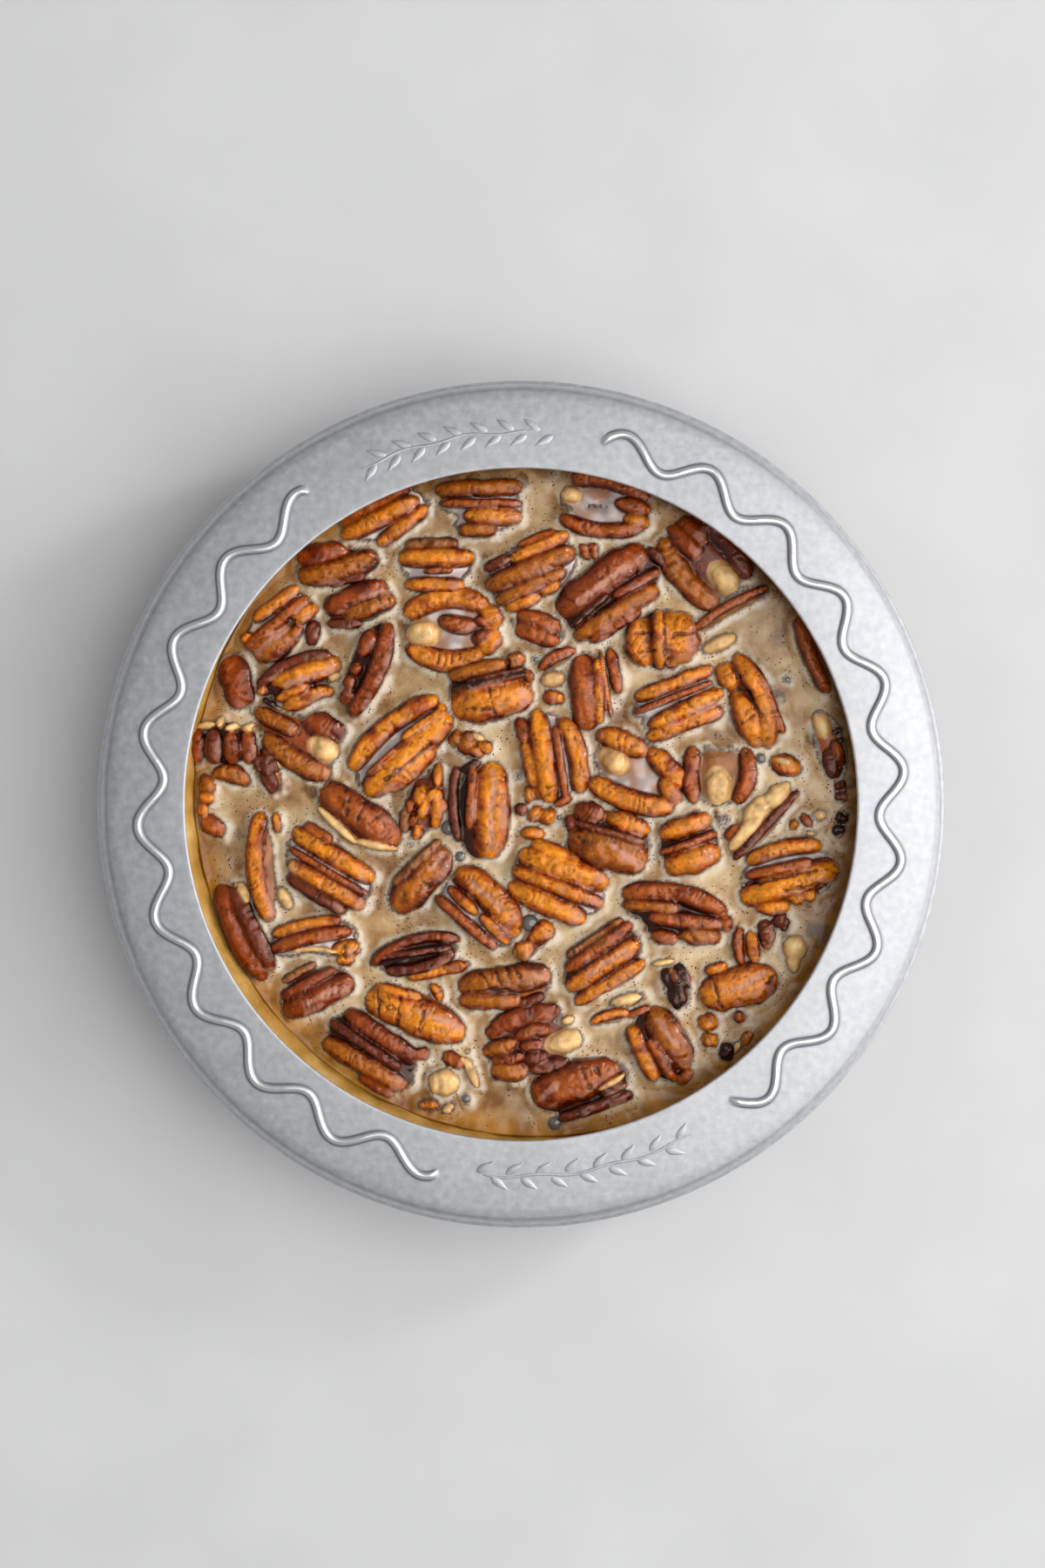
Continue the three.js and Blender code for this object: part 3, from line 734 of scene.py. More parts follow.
    "broken_02": (49, "rust", [(-90, 30, 10, 25, 48, "cream"), (-25, 60, 50, 60, 70, "cream"),
        (30, 35, 100, 20, 60, "cream"), (-100, -30, 100, -55, 22, "plum"), (-80, 90, -40, 90, 25, "rust")]),
    "broken_03": (90, "dark", [(-90, 115, 60, 110, 20, "russet"), (-90, 50, 60, 50, 24, "plum"),
        (-90, -20, 50, -15, 22, "russet"), (-90, -82, 60, -80, 24, "russet"),
        (72, 115, 85, 45, 15, "cream"), (70, 28, 120, 20, 15, "cream"), (60, 5, 80, -45, 14, "cream"),
        (60, -85, 85, -75, 28, "cream")]),
}

nutForm = {
    "grain": 0.42,  # size of the mesh's faces
    "foot": 1.3,  # how far a nut is modelled below the custard
    "plump": 1.42,  # how much wider ridges are made than the table says, so that they meet
    "wrinkle": 0.08,
    "crease": 0.24,
    "creaseWidth": 0.2,
    "knuckle": 3.1,  # from one crease to the next along a ridge
    "swelling": 0.13,
    "knobs": {"whole": 1.0, "cupped": 2.2, "broken": 1.6},  # how many times stronger that is
    "square": 0.8,  # 1 for round ridges, less for ones with flatter backs and steeper sides
    "end": 1 / 2.3,  # how round a ridge's ends are
    "flank": (0.46, 0.25, 0.11),  # what is left of the colour beside the back of a ridge: partly the skin's own redder colour, partly painted shade
    "flankFrom": (0.28, 0.8),  # where that starts and is full, in half widths from the back
    "side": (0.17, 0.1, 0.05),  # and of that at its sides and in its creases: partly the skin's own dark colour, partly painted shade
    "sideFrom": (0.74, 1.02),
    "cut": (0.42, 0.55),  # half width and depth of a crack
    "smear_and_sheen": (1.0, 0.2),
    "paintedSheenStrength": 0.5,  # how strongly the painted sheen shows on the sides of the nuts that face the big light on the right
    "paintedSheenTowards": (0.82, -0.5, 0.28),  # the way those sides face
}

Ridge = namedtuple("Ridge", "x0 y0 x1 y1 half skin bow", defaults=[None])


# The tables' hundredths as shares of the way to the nut's edge; words stay.
def inShares(row):
    return [value if isinstance(value, str) else value / 100 for value in row]


class Nut:
    def __init__(self, middle, turn, length, width, top, groove, ridges, kind="whole", marks=()):
        self.middle = np.array(middle)
        self.turn = math.radians(turn)
        self.size = np.array((length / 2, width / 2))
        self.rise = top - level
        self.groove = groove
        self.ridges = ridges
        self.kind = kind  # whole, cupped or broken
        self.marks = marks

    # Half width of a ridge in millimetres; flesh is bare and lies in nothing, so it isn't plumped up.
    def wide(self, ridge):
        return ridge.half * self.size[1] * (1.0 if ridge.skin == "cream" else nutForm["plump"])

    # Points of the pie (millimetres) in the nut's own directions, from its middle, and back.
    def toOwn(self, points):
        c, s = math.cos(self.turn), math.sin(self.turn)
        away = points[:, :2] - self.middle
        return np.stack((away @ (c, s), away @ (-s, c)), 1)

    def toPie(self, own):
        c, s = math.cos(self.turn), math.sin(self.turn)
        return self.middle + np.stack((own @ (c, -s), own @ (s, c)), 1)

    # The middle line of a ridge at shares 0 to 1 of its way, in the nut's own millimetres.
    def line(self, ridge, share):
        start, end = np.array(ridge[:2]), np.array(ridge[2:4])
        half = (start + end) / 2
        bowed = half if ridge.bow is None else np.array((half[0], ridge.bow))
        pull = 2 * bowed - half
        share = share[:, None]
        return (start * (1 - share) ** 2 + 2 * pull * share * (1 - share) + end * share**2) * self.size

    # Height of the nut's crown over a point in its own millimetres.
    def crown(self, own):
        x, y = np.abs(own / self.size).T
        return level + self.rise * np.clip(1 - 0.42 * x**2.6 - 0.42 * y**2, 0.3, 1)

    # Moves the points of a ball to places in the nut's own millimetres, and to heights.
    def placeBall(self, ball, own, height):
        for vert, spot, z in zip(ball, self.toPie(own), height):
            vert.co = (spot[0] * mm, spot[1] * mm, z * mm)


def readNut(name):
    turn, groove, ridges, *marks = nutShapes[name]
    points = readPoints(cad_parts["nut_" + name].data)
    ridges = [Ridge(*inShares(ridge)) for ridge in ridges]
    turned = Nut((0, 0), turn, 2, 2, 0, groove, ridges)  # only for its directions
    own = turned.toOwn(points)
    low, high = own.min(0), own.max(0)
    middle = turned.toPie(((low + high) / 2)[None])[0]
    kind = "cupped" if "cupped" in name else "whole"
    marks = [inShares(mark) for mark in sum(marks, [])]
    return Nut(middle, turn, *(high - low), points[:, 2].max(), groove, ridges, kind, marks)


# How suddenly a ridge rounds off at its ends: the slimmer it is, the blunter they are.
def bluntness(nut, ridge):
    long_ = np.linalg.norm((np.array(ridge[2:4]) - np.array(ridge[:2])) * nut.size) / 2
    return 2.1 if ridge.skin == "cream" else min(max(1.17 * long_ / nut.wide(ridge), 2.3), 8)


# One ridge: a ball drawn out along its line, blunt at its ends, with its lower half down in the custard.
def addRidge(bm, nut, ridge, rng):
    ball = bmesh.ops.create_uvsphere(bm, u_segments=18, v_segments=26, radius=1)["verts"]
    flat = np.array([vert.co for vert in ball])
    along = flat[:, 2]
    girth = np.hypot(flat[:, 0], flat[:, 1])
    across, up = (flat[:, :2] / np.maximum(girth, 1e-6)[:, None]).T
    across, up = (np.sign(way) * np.abs(way) ** nutForm["square"] for way in (across, up))
    share = (along + 1) / 2
    middle = nut.line(ridge, share)
    ahead = nut.line(ridge, share + 0.01) - nut.line(ridge, share - 0.01)
    ahead /= np.linalg.norm(ahead, axis=1)[:, None]
    wide = nut.wide(ridge)
    lumps = 1 + 0.07 * np.sin(along * rng.uniform(4, 7) + rng.uniform(0, 6))
    lumps = lumps + 0.04 * np.sin(along * rng.uniform(9, 14) + rng.uniform(0, 6))
    round_ = np.clip(1 - np.abs(along) ** bluntness(nut, ridge), 0, 1) ** nutForm["end"]
    round_ = round_ * (girth > 1e-6)
    if ridge.skin == "cream" and wide > 2.5:
        round_ *= 1 - 0.5 * np.maximum(along, 0) ** 1.6  # a germ runs out to a point
    side = np.stack((-ahead[:, 1], ahead[:, 0]), 1)
    tall = min(wide * 0.75, nut.rise * 0.8)
    axis = nut.crown(middle) - tall
    height = axis + up * np.where(up > 0, tall, axis - level + nutForm["foot"]) * round_
    reach = wide * round_ * lumps
    nut.placeBall(ball, middle + side * (across * reach)[:, None], height)


# What lies under the ridges: a low body that fills the grooves.
def addCore(bm, nut):
    ball = bmesh.ops.create_uvsphere(bm, u_segments=32, v_segments=12, radius=1)["verts"]
    flat = np.array([vert.co for vert in ball])
    own = flat[:, :2] * nut.size * 0.95
    share = 0.34 if nut.groove in ("milky", "muted") else 0.42
    reach = 3.2 if nut.kind == "cupped" else 2.4  # a cupped nut is filled right across its hollow
    near = smoothStep(reach, reach - 0.9, ridgeShares(nut, own)[0].min(0))
    tall = (nut.crown(own * 0.8) - level) * share * near - 1.1 * (1 - near)
    nut.placeBall(ball, own, level + flat[:, 2] * np.where(flat[:, 2] > 0, tall, nutForm["foot"]))


# Closes everything in a mesh into one skin of even faces.
def oneSkin(mesh, size):
    holder = bpy.data.objects.new("skin", mesh)
    bpy.context.collection.objects.link(holder)
    remesh = holder.modifiers.new("skin", "REMESH")
    remesh.mode = "VOXEL"
    remesh.voxel_size = size * mm
    graph = bpy.context.evaluated_depsgraph_get()
    skin = bpy.data.meshes.new_from_object(holder.evaluated_get(graph))
    bpy.data.objects.remove(holder)
    bm = bmesh.new()
    bm.from_mesh(skin)
    bmesh.ops.smooth_vert(bm, verts=bm.verts, factor=0.5, use_axis_x=True, use_axis_y=True, use_axis_z=True)
    bm.to_mesh(skin)
    bm.free()
    return skin


# How far each point lies from each ridge's line, as a share of the ridge's half width there, and how
# far along the ridge it is in millimetres.
def ridgeShares(nut, own):
    shares, alongs = [], []
    steps = np.linspace(0, 1, 25)
    for ridge in nut.ridges:
        line = nut.line(ridge, steps)
        way = np.concatenate(([0], np.cumsum(np.linalg.norm(np.diff(line, axis=0), axis=1))))
        gaps = np.linalg.norm(own[:, None, :] - line[None], axis=2)
        taper = np.clip(1 - np.abs(steps * 2 - 1) ** bluntness(nut, ridge), 0.02, 1) ** nutForm["end"]
        scaled = gaps / (nut.wide(ridge) * taper)
        shares.append(scaled.min(1))
        alongs.append(way[scaled.argmin(1)])
    return np.array(shares), np.array(alongs)


# Takes red, green and blue down to the shares left of them, as far as amount (0 to 1) says; by less
# than half as much where the flesh is pale.
def tinted(skin, amount, left, pale):
    amount = (amount * np.where(pale, 0.4, 1))[:, None]
    return skin * (1 - amount + amount * np.array(left))


# Wrinkles the skin of a nut and paints it: colour with painted shade and painted sheen in it, its own
# directions for the grain, and wetness.
def finishNut(mesh, nut, seed):
    points = readPoints(mesh)
    height = points[:, 2]
    normals = np.empty(points.size)
    mesh.vertex_normals.foreach_get("vector", normals)
    normals = normals.reshape(-1, 3)
    own = nut.toOwn(points)
    grain = np.stack((*own.T, height), 1)
    shares, alongs = ridgeShares(nut, own)
    closest = shares.argmin(0)
    nearest = shares.min(0)
    along = alongs[closest, np.arange(len(closest))]
    onRidge = smoothStep(1.15, 0.7, nearest)
    pale = np.array([ridge.skin == "cream" for ridge in nut.ridges])[closest]

    def lumps(size, number):  # a random value of this nut's own
        return ripple(grain, size, seed + number)

    # knuckles: swellings with creases between them, across each ridge
    beat = along / nutForm["knuckle"] + 0.4 * lumps(7, 0) + closest * 0.37
    fold = np.abs(np.sin(math.pi * beat))
    crease = np.exp(-((fold / nutForm["creaseWidth"]) ** 2)) * smoothStep(-0.9, 0.7, lumps(8, 1))
    crease = crease * np.where(pale, 0.2, 1)
    swell = nutForm["wrinkle"] * lumps(3.2, 2) + 0.02 * lumps(1.4, 3)
    lift = nutForm["swelling"] * nutForm["knobs"][nut.kind] * (fold - 0.6)
    lift = lift * smoothStep(-1.2, 0.8, lumps(12, 7))
    push = (swell + np.where(pale, 0.1, 1) * lift - nutForm["crease"] * crease) * onRidge
    cut, smear_and_sheen = np.zeros(len(points)), np.zeros(len(points))
    for x0, y0, x1, y1, kind in nut.marks:
        start, end = np.array((x0, y0)) * nut.size, np.array((x1, y1)) * nut.size
        share = np.clip((own - start) @ (end - start) / ((end - start) @ (end - start)), 0, 1)
        away = np.linalg.norm(own - start - share[:, None] * (end - start), axis=1)
        away = (away + 0.3 * lumps(2.8, 11) * (away > 0.1)) / nutForm[kind][0]
        if kind == "cut":
            cut = np.maximum(cut, np.exp(-(away**2)))
        else:
            smear_and_sheen = np.maximum(smear_and_sheen, smoothStep(1.3, 0.4, away))
    push = push - nutForm["cut"][1] * cut - nutForm["smear_and_sheen"][1] * smear_and_sheen
    writePoints(mesh, points + normals * push[:, None])

    # golden along the middle of a ridge, redder and then nearly black towards its sides: partly the skin's
    # own colour, partly painted shade
    weights = np.exp(-3.2 * shares**2)
    paints = np.array([skins[ridge.skin][:3] for ridge in nut.ridges])
    skin = (weights[:, :, None] * paints[:, None, :]).sum(0) / weights.sum(0)[:, None]
    blotch, fine = lumps(5.5, 5), lumps(1.9, 6)
    skin = skin * np.clip(1.04 + 0.14 * blotch + 0.09 * fine, 0.5, 1.5)[:, None]
    depth = nearest + 0.09 * blotch + 0.07 * fine
    skin = tinted(skin, smoothStep(*nutForm["flankFrom"], depth), nutForm["flank"], pale)
    skin = tinted(skin, smoothStep(*nutForm["sideFrom"], depth), nutForm["side"], pale)
    # painted shade in the creases between the knuckles
    skin = tinted(skin, 0.8 * crease * onRidge, nutForm["side"], pale)
    skin = tinted(skin, smoothStep(0.9, 2.2, lumps(8, 9)), nutForm["flank"], pale)
    # painted sheen in pale pink on the sides that face the big light on the right, and on the smears
    paintedSheen = smoothStep(0.3, 0.62, normals @ nutForm["paintedSheenTowards"]) * smoothStep(0.1, 0.75, lumps(6, 12))
    paintedSheen = nutForm["paintedSheenStrength"] * paintedSheen * ~pale * smoothStep(1.0, 0.8, nearest) * (height > level + 0.8)
    paintedSheen = np.maximum(paintedSheen, 0.75 * smear_and_sheen)[:, None]
    skin = skin * (1 - paintedSheen) + np.array(skins["smear_and_sheen"][:3]) * paintedSheen
    # painted shade in the cracks
    skin = tinted(skin, 0.95 * cut, nutForm["side"], pale)
    # the grooves: milky and cloudy where custard stands in them
    wetGroove = nut.groove in ("milky", "muted", "open")
    groove = np.array(skins[nut.groove][:3]) * np.ones((len(points), 1))
    if wetGroove:
        groove = groove * (0.62 + 0.5 * smoothStep(-0.8, 1.2, lumps(4.5, 8))[:, None])
    if wetGroove and nut.kind == "cupped":  # brown skin shows through the custard in a hollow
        bare = 0.75 * smoothStep(-0.5, 1.3, lumps(5, 13))[:, None]
        groove = 0.8 * groove * (1 - bare) + np.array(skins["muted"][:3]) * bare
    gap = smoothStep(1.0, 1.2, nearest)[:, None]
    skin = skin * (1 - gap) + groove * gap
    shadeAtCustard = smoothStep(level + 1.1, level + 0.2, height)  # painted shade: darkest where it meets the custard
    skin = tinted(skin, shadeAtCustard * onRidge, nutForm["side"], pale)
    colours = np.concatenate((np.clip(skin, 0, 1), np.ones((len(skin), 1))), 1)
    film = np.maximum.reduce((gap[:, 0] * wetGroove, 0.8 * pale * (1 - gap[:, 0]), paintedSheen[:, 0]))
    writeAttribute(mesh, "skin", "FLOAT_COLOR", colours)
    writeAttribute(mesh, "grain", "FLOAT_VECTOR", (grain + (3.7 * seed, 1.3 * seed, 0)) * mm)
    writeAttribute(mesh, "film", "FLOAT", film)


def makeNut(nut, seed):
    rng = np.random.default_rng(seed)
    bm = bmesh.new()
    if nut.groove != "open":
        addCore(bm, nut)
    for ridge in nut.ridges:
        addRidge(bm, nut, ridge, rng)
    mesh = oneSkin(meshOf(bm, "ridges"), nutForm["grain"])
    finishNut(mesh, nut, seed)
    return mesh


# Pecan skin under a coat of corn syrup: thin papery brown, golden on the ridges, wet and glossy, with
# fine wrinkles that catch the light and painted shade in their low parts; smoother and milky where
# custard has run into the grooves, and where the painted sheen lies.
def syrupedPecan():
    skin, tree, shader = newMaterial("syruped_pecan_skin", Coat_Weight=0.8, Coat_Roughness=0.08,
                                     Coat_IOR=1.46, Specular_IOR_Level=0.25, Specular_Tint=linear("ff9a50"))
    grain, film = painted(tree, "grain", "Vector"), painted(tree, "film")
    drawn = addNode(tree, "Mapping", {"Vector": grain, "Scale": (0.6, 1, 1)}).outputs["Vector"]
    wrinkles = noise(tree, drawn, 1.3, 5, Roughness=0.6, Distortion=0.6)
    flecks = noise(tree, grain, 2.4, 7, Roughness=0.7)
    crack = compute(tree, "COMPARE", noise(tree, drawn, 4, 3, Distortion=1.2), 0.5, 0.016)
    # partly mottle, partly painted shade: the noise that raises the wrinkles and flecks also darkens their
    # low parts
    shade = remap(tree, wrinkles, (0.3, 0.7), (0.74, 1.2))
    shade = compute(tree, "MULTIPLY", shade, remap(tree, flecks, (0.3, 0.7), (0.78, 1.18)))
    shade = compute(tree, "MULTIPLY", shade, remap(tree, crack, (0, 1), (1, 0.8)))
    shade = between(tree, film, shade, 1.0)
    tone = addNode(tree, "VectorMath", {0: painted(tree, "skin", "Color"), "Scale": shade}, operation="SCALE")
    height = between(tree, film, compute(tree, "ADD", wrinkles, flecks), 1.0)
    setInputs(tree, shader, {"Base Color": tone.outputs["Vector"],
                             "Roughness": remap(tree, flecks, (0.3, 0.7), (0.22, 0.4)),
                             "Normal": bump(tree, height, 0.65, 0.3),
                             "Coat Normal": bump(tree, height, 0.28, 0.3)})
    return skin


nutSkin = syrupedPecan()
nutMeshes = []
for seed, name in enumerate(nutShapes):
    nutMesh = makeNut(readNut(name), 100 + 10 * seed)
    nutMeshes.append(nutMesh)
    finishPiece("pecan_" + name, nutMesh, nutSkin, ["nut_" + name])
print("nuts made:", sum(len(m.polygons) for m in nutMeshes), "faces")


# ---- Broken pieces of nut ----

# How the ridges of a broken piece lie, in the same terms as a whole nut's.
breaks = {
    "chip": [(-85, 0, 85, 0, 72)],
    "curl": [(-95, -20, 95, -20, 55, 45)],
    "two": [(-85, 42, 75, 50, 42), (-75, -45, 85, -42, 42)],
    "knobs": [(-85, 15, -25, -10, 70), (5, 25, 85, -5, 75)],
    "wedge": [(-75, -55, -55, 75, 42), (-50, 10, 25, 10, 62), (0, -25, 95, -30, 30)],
    "shards": [(-90, 50, 20, 62, 32), (-60, 5, 80, -5, 27), (-90, -40, -10, -45, 28),
        (5, -55, 95, -40, 25)],
    "heap": [(-80, 40, -10, 65, 40), (-65, -40, -10, -10, 42), (5, 50, 85, 30, 38), (10, -35, 80, -50, 45)],
}

# Shape, skin, middle x and y, turn, length, width and how high it stands out of the custard.
fragments = [
    ("chip", "plum", -61.3, 50.5, 85, 9.5, 4.6, 2.2), ("chip", "amber", -67.6, 49.8, 80, 5, 2.6, 2.4),
    ("shards", "plum", -74.6, 10, -62, 15, 7.5, 3), ("chip", "cream", -71.5, 11.8, -55, 4, 2, 2),
    ("wedge", "umber", -15.5, 17.6, -20, 12, 8.5, 2), ("chip", "cream", -12.6, 19.6, -25, 5, 3, 1.8),
    ("chip", "amber", -10.6, 16.8, -20, 5.5, 4, 2.2), ("chip", "amber", -24.3, -49, 12, 22, 3.8, 2),
    ("curl", "amber", -25.3, -55.6, -60, 6.5, 4, 1.6), ("chip", "cream", -69.5, -27.8, -62, 8.5, 5, 1.8),
    ("chip", "cream", -83.2, -25, -50, 5, 3.6, 1.2), ("knobs", "amber", 4.2, 3.4, 20, 8, 5.5, 2.6),
    ("chip", "plum", 0, -1.6, 10, 5, 4, 2), ("knobs", "amber", 6.2, -3.4, -15, 9, 5.5, 3),
    ("chip", "amber", 3.6, -8.6, -5, 8.5, 4, 2.2), ("knobs", "amber", 3.8, -40.3, 42, 17, 6.4, 2.8),
    ("heap", "rust", 20, 74.2, 10, 7, 5.4, 1.8),
    ("chip", "cream", 58.3, 47.2, 24, 12.5, 5.6, 2.2), ("chip", "rust", 27.4, 39.2, -79, 16.5, 3.8, 2.2),
    ("two", "rust", 5, 51.8, -19, 18, 9.5, 2.4), ("curl", "rust", 10.6, 42.6, 28, 13, 4.6, 2.6),
    ("chip", "cream", 9.4, 36.7, 8, 8.5, 6, 2.4), ("chip", "amber", 9.6, 31.3, -4, 8, 4.6, 2),
    ("chip", "amber", 78, 11.4, -14, 11.5, 6.6, 2), ("chip", "cream", 77.6, 12.4, -14, 7, 3.4, 2.3),
    ("chip", "amber", 80.3, -6.2, 50, 4, 2.6, 1.5), ("chip", "rust", 84, -4.8, -50, 6, 3, 1.7),
    ("chip", "cream", 88, -3.2, 10, 4.6, 4.4, 1.5), ("chip", "cream", 85.4, -8.6, 0, 3.2, 2, 0.9),
    ("heap", "dark", 94, -6, 80, 9, 4, 1.6), ("curl", "rust", 64.6, -41.6, 92, 12, 4.2, 2.6),
    ("chip", "amber", 68.2, -42.2, 100, 11.5, 4, 2.8), ("chip", "rust", 72.3, -38.6, 90, 10, 4, 2.4),
    ("heap", "plum", 76.6, -35, -20, 6, 4.4, 1.8), ("chip", "amber", 57.4, -48.4, 17, 8.5, 3.8, 2.6),
    ("shards", "dark", 46, -53.6, -70, 14, 9, 2.6), ("chip", "muted", 44.8, -50.5, -70, 6, 3, 2.8),
    ("chip", "cream", 41.8, -46.6, 8, 8, 2.6, 1.4), ("curl", "amber", 26.2, -62.7, 14, 13, 4, 2.4),
    ("chip", "rust", 34.5, -61, 22, 9, 2.4, 2), ("chip", "cream", 31.2, -57.6, 14, 13, 5, 1.1),
    ("chip", "amber", 55, -64.2, 20, 7, 5.6, 2.4), ("chip", "amber", 55.6, -69.4, -10, 6.4, 4.6, 2.2),
    ("chip", "rust", 64.2, -62.6, 0, 5.4, 3.8, 1.4), ("chip", "dark", 60.6, -72.8, 70, 7, 4.6, 2),
    ("chip", "cream", 63.4, -71.6, 60, 4.6, 2.8, 1.6), ("chip", "amber", 66.4, -68.8, 55, 5.6, 3, 1.8),
    ("heap", "dark", 92.5, 12, -75, 9, 4, 1.4), ("heap", "plum", 94, 4, -80, 8, 4, 1.4),
    ("heap", "dark", 93, 20, -70, 7, 4, 1.2), ("chip", "amber", -27, -88.4, 0, 8, 4, 0.9),
    ("chip", "cream", -21.6, -89.4, 20, 6, 3.6, 0.9),
]


# Joins meshes into one and carries their painted attributes over.
def joined(name, meshes, attributes):
    bm = bmesh.new()
    for mesh in meshes:
        bm.from_mesh(mesh)
    for layers in (bm.verts.layers.float, bm.verts.layers.float_color, bm.verts.layers.float_vector):
        for layer in list(layers.values()):
            layers.remove(layer)
    whole = meshOf(bm, name)
    for key, kind in attributes.items():
        field, width = fields[kind]
        values = []
        for mesh in meshes:
            values.append(np.empty(len(mesh.vertices) * width))
            mesh.attributes[key].data.foreach_get(field, values[-1])
        writeAttribute(whole, key, kind, np.concatenate(values))
    return whole


def makeFragments():
    made = []
    for seed, (shape, skin, x, y, turn, length, width, rise) in enumerate(fragments):
        rows = [inShares(row) for row in breaks[shape]]
        ridges = [Ridge(*row[:5], skin, *row[5:]) for row in rows]
        groove = "plum" if skin == "dark" else "rust"
        nut = Nut((x, y), turn, length, width, level + rise, groove, ridges, "broken")
        made.append(makeNut(nut, 900 + 10 * seed))
    return joined("pieces", made, {"skin": "FLOAT_COLOR", "grain": "FLOAT_VECTOR", "film": "FLOAT"})


fragmentMesh = makeFragments()
nutMeshes.append(fragmentMesh)
finishPiece("pecan_pieces", fragmentMesh, nutSkin)
print("broken pieces made:", len(fragmentMesh.polygons), "faces")


# ---- The custard ----

custard = {
    "cells": 306,
    "climb": (0.75, 0.85, 0.6, 1.4),  # how high it climbs a nut and how far off that fades; same for the wall
    "dip": (0.12, 3, 1.2),  # how much lower it is round a nut, at what distance, and how wide that is
    "film": (0.8, 1.6),  # how milky and bright it is beside a nut, partly a painted highlight, and how far from it
    "syrup": (6.5, 3.5, 250),  # how wide its clear rim is, how much wider, and towards how many degrees
    # how far from the wall the painted shade reaches
    "wallShadeReach": 8,
    "shade": 0.16,  # how brown it is everywhere
    "foot": (85.2, 8.9),
    "floor": (79.6, 6.2),
    # bubbles on it: middle x and y, radius
    "bubbles": [(2.5, -35, 2.8), (-21.5, -7, 2.4), (10, -94, 2.4), (-18, -15.5, 1.8), (-13, 61, 1.8),
                (70.5, 13.5, 1.8), (78.3, 36.7, 1.3), (-16.3, -86.8, 1.6), (-0.7, 8.2, 1.2), (4.3, 42.5, 1.2),
                (11, -4, 1.2), (-32.5, -12, 0.9), (-1.5, -21.5, 0.9), (12.4, -12, 0.8), (66, 63.4, 0.7),
                (-15.6, -72.8, 0.7), (59, -4, 0.9), (60.8, -4.6, 1.1), (60, -6.4, 0.8), (58.4, -5.8, 0.6),
                (61.6, 61, 0.7), (-27.4, 5.6, 0.8), (31.8, -55.6, 0.7)],
    # nuts sunk out of sight, which darken it: middle x and y, size, how dark
    "sunken": [(57, 20, 6, 0.4), (50, 24, 4, 0.2), (22, 88, 9, 0.5), (58, -6, 5, 0.85), (-60, 4, 5, 0.75),
               (-60, 26, 7, 0.6), (-88, -35, 8, 0.5), (40, 55, 4, 0.2), (3, -62, 9, 0.45), (2, -72, 8, 0.6),
               (10, -70, 5, 0.5), (35, 12, 7, 0.35), (42, -42, 3, 0.2), (-27, -77, 6, 0.5),
               (-26, -88, 6, 0.4), (89, -38, 5, 0.7), (90, -42, 5, 0.6), (78, -38, 5, 0.4), (-64, 0, 3, 0.4),
               (36, 20, 4, 0.3), (60, -30, 4, 0.1), (-80, -50, 5, 0.5), (-86, -8, 4, 0.6), (-32, -7, 6, 0.4),
               (33, 62, 3, 0.2), (16, 57, 4, 0.3), (77, 32, 3, 0.3)],
    # painted shade along the wall, the shield's shadow towards the upper right and darker beside the wall on
    # the left: towards how many degrees, how much, and how narrow the stretch is
    "wallShade": [(54, 0.88, 0.8), (178, 0.4, 5)],
    # and where it is paler: middle x and y, size, how much
    "paler": [(48, 46, 30, 0.1), (-46, -48, 28, 0.07)],
    "specks": 3000,
    "speckSize": (0.08, 0.26),
    "speckReach": 98,
}


# The top of the custard: spots in millimetres, their distance to the nearest nut and to the wall.
class Surface:
    def __init__(self):
        shore = np.concatenate([readPoints(mesh) for mesh in nutMeshes])
        shore = shore[(shore[:, 2] > level + 0.1) & (shore[:, 2] < level + 1.2), :2]
        turns = np.linspace(0, fullTurn, 24)
        rings = [(x + r * 0.9 * np.cos(turns), y + r * 0.9 * np.sin(turns)) for x, y, r in custard["bubbles"]]
        shore = np.concatenate([shore] + [np.stack(ring, 1) for ring in rings])
        shore = np.unique(np.rint(shore * 3), axis=0) / 3
        self.tree = KDTree(len(shore))
        for i, (x, y) in enumerate(shore):
            self.tree.insert((x, y, 0), i)
        self.tree.balance()
        whole = bmesh.new()
        for mesh in nutMeshes:
            whole.from_mesh(mesh)
        self.lid = BVHTree.FromBMesh(whole)
        whole.free()

    def toNuts(self, spots):
        return np.array([self.tree.find((x, y, 0))[2] for x, y in spots])

    def toWall(self, spots):
        angle = np.arctan2(spots[:, 1], spots[:, 0])
        return dough["wallRadius"] - leanIn(angle) - np.hypot(spots[:, 0], spots[:, 1])

    def height(self, spots, toNuts):
        swell = 0.05 * ripple(spots, 13, 21) + 0.025 * ripple(spots, 5, 22)
        nutHigh, nutFade, wallHigh, wallFade = custard["climb"]
        climb = nutHigh * np.exp(-toNuts / nutFade) + wallHigh * np.exp(-self.toWall(spots) / wallFade)
        deep, off, wide = custard["dip"]
        return level + swell + climb - deep * np.exp(-(((toNuts - off) / wide) ** 2))


surface = Surface()


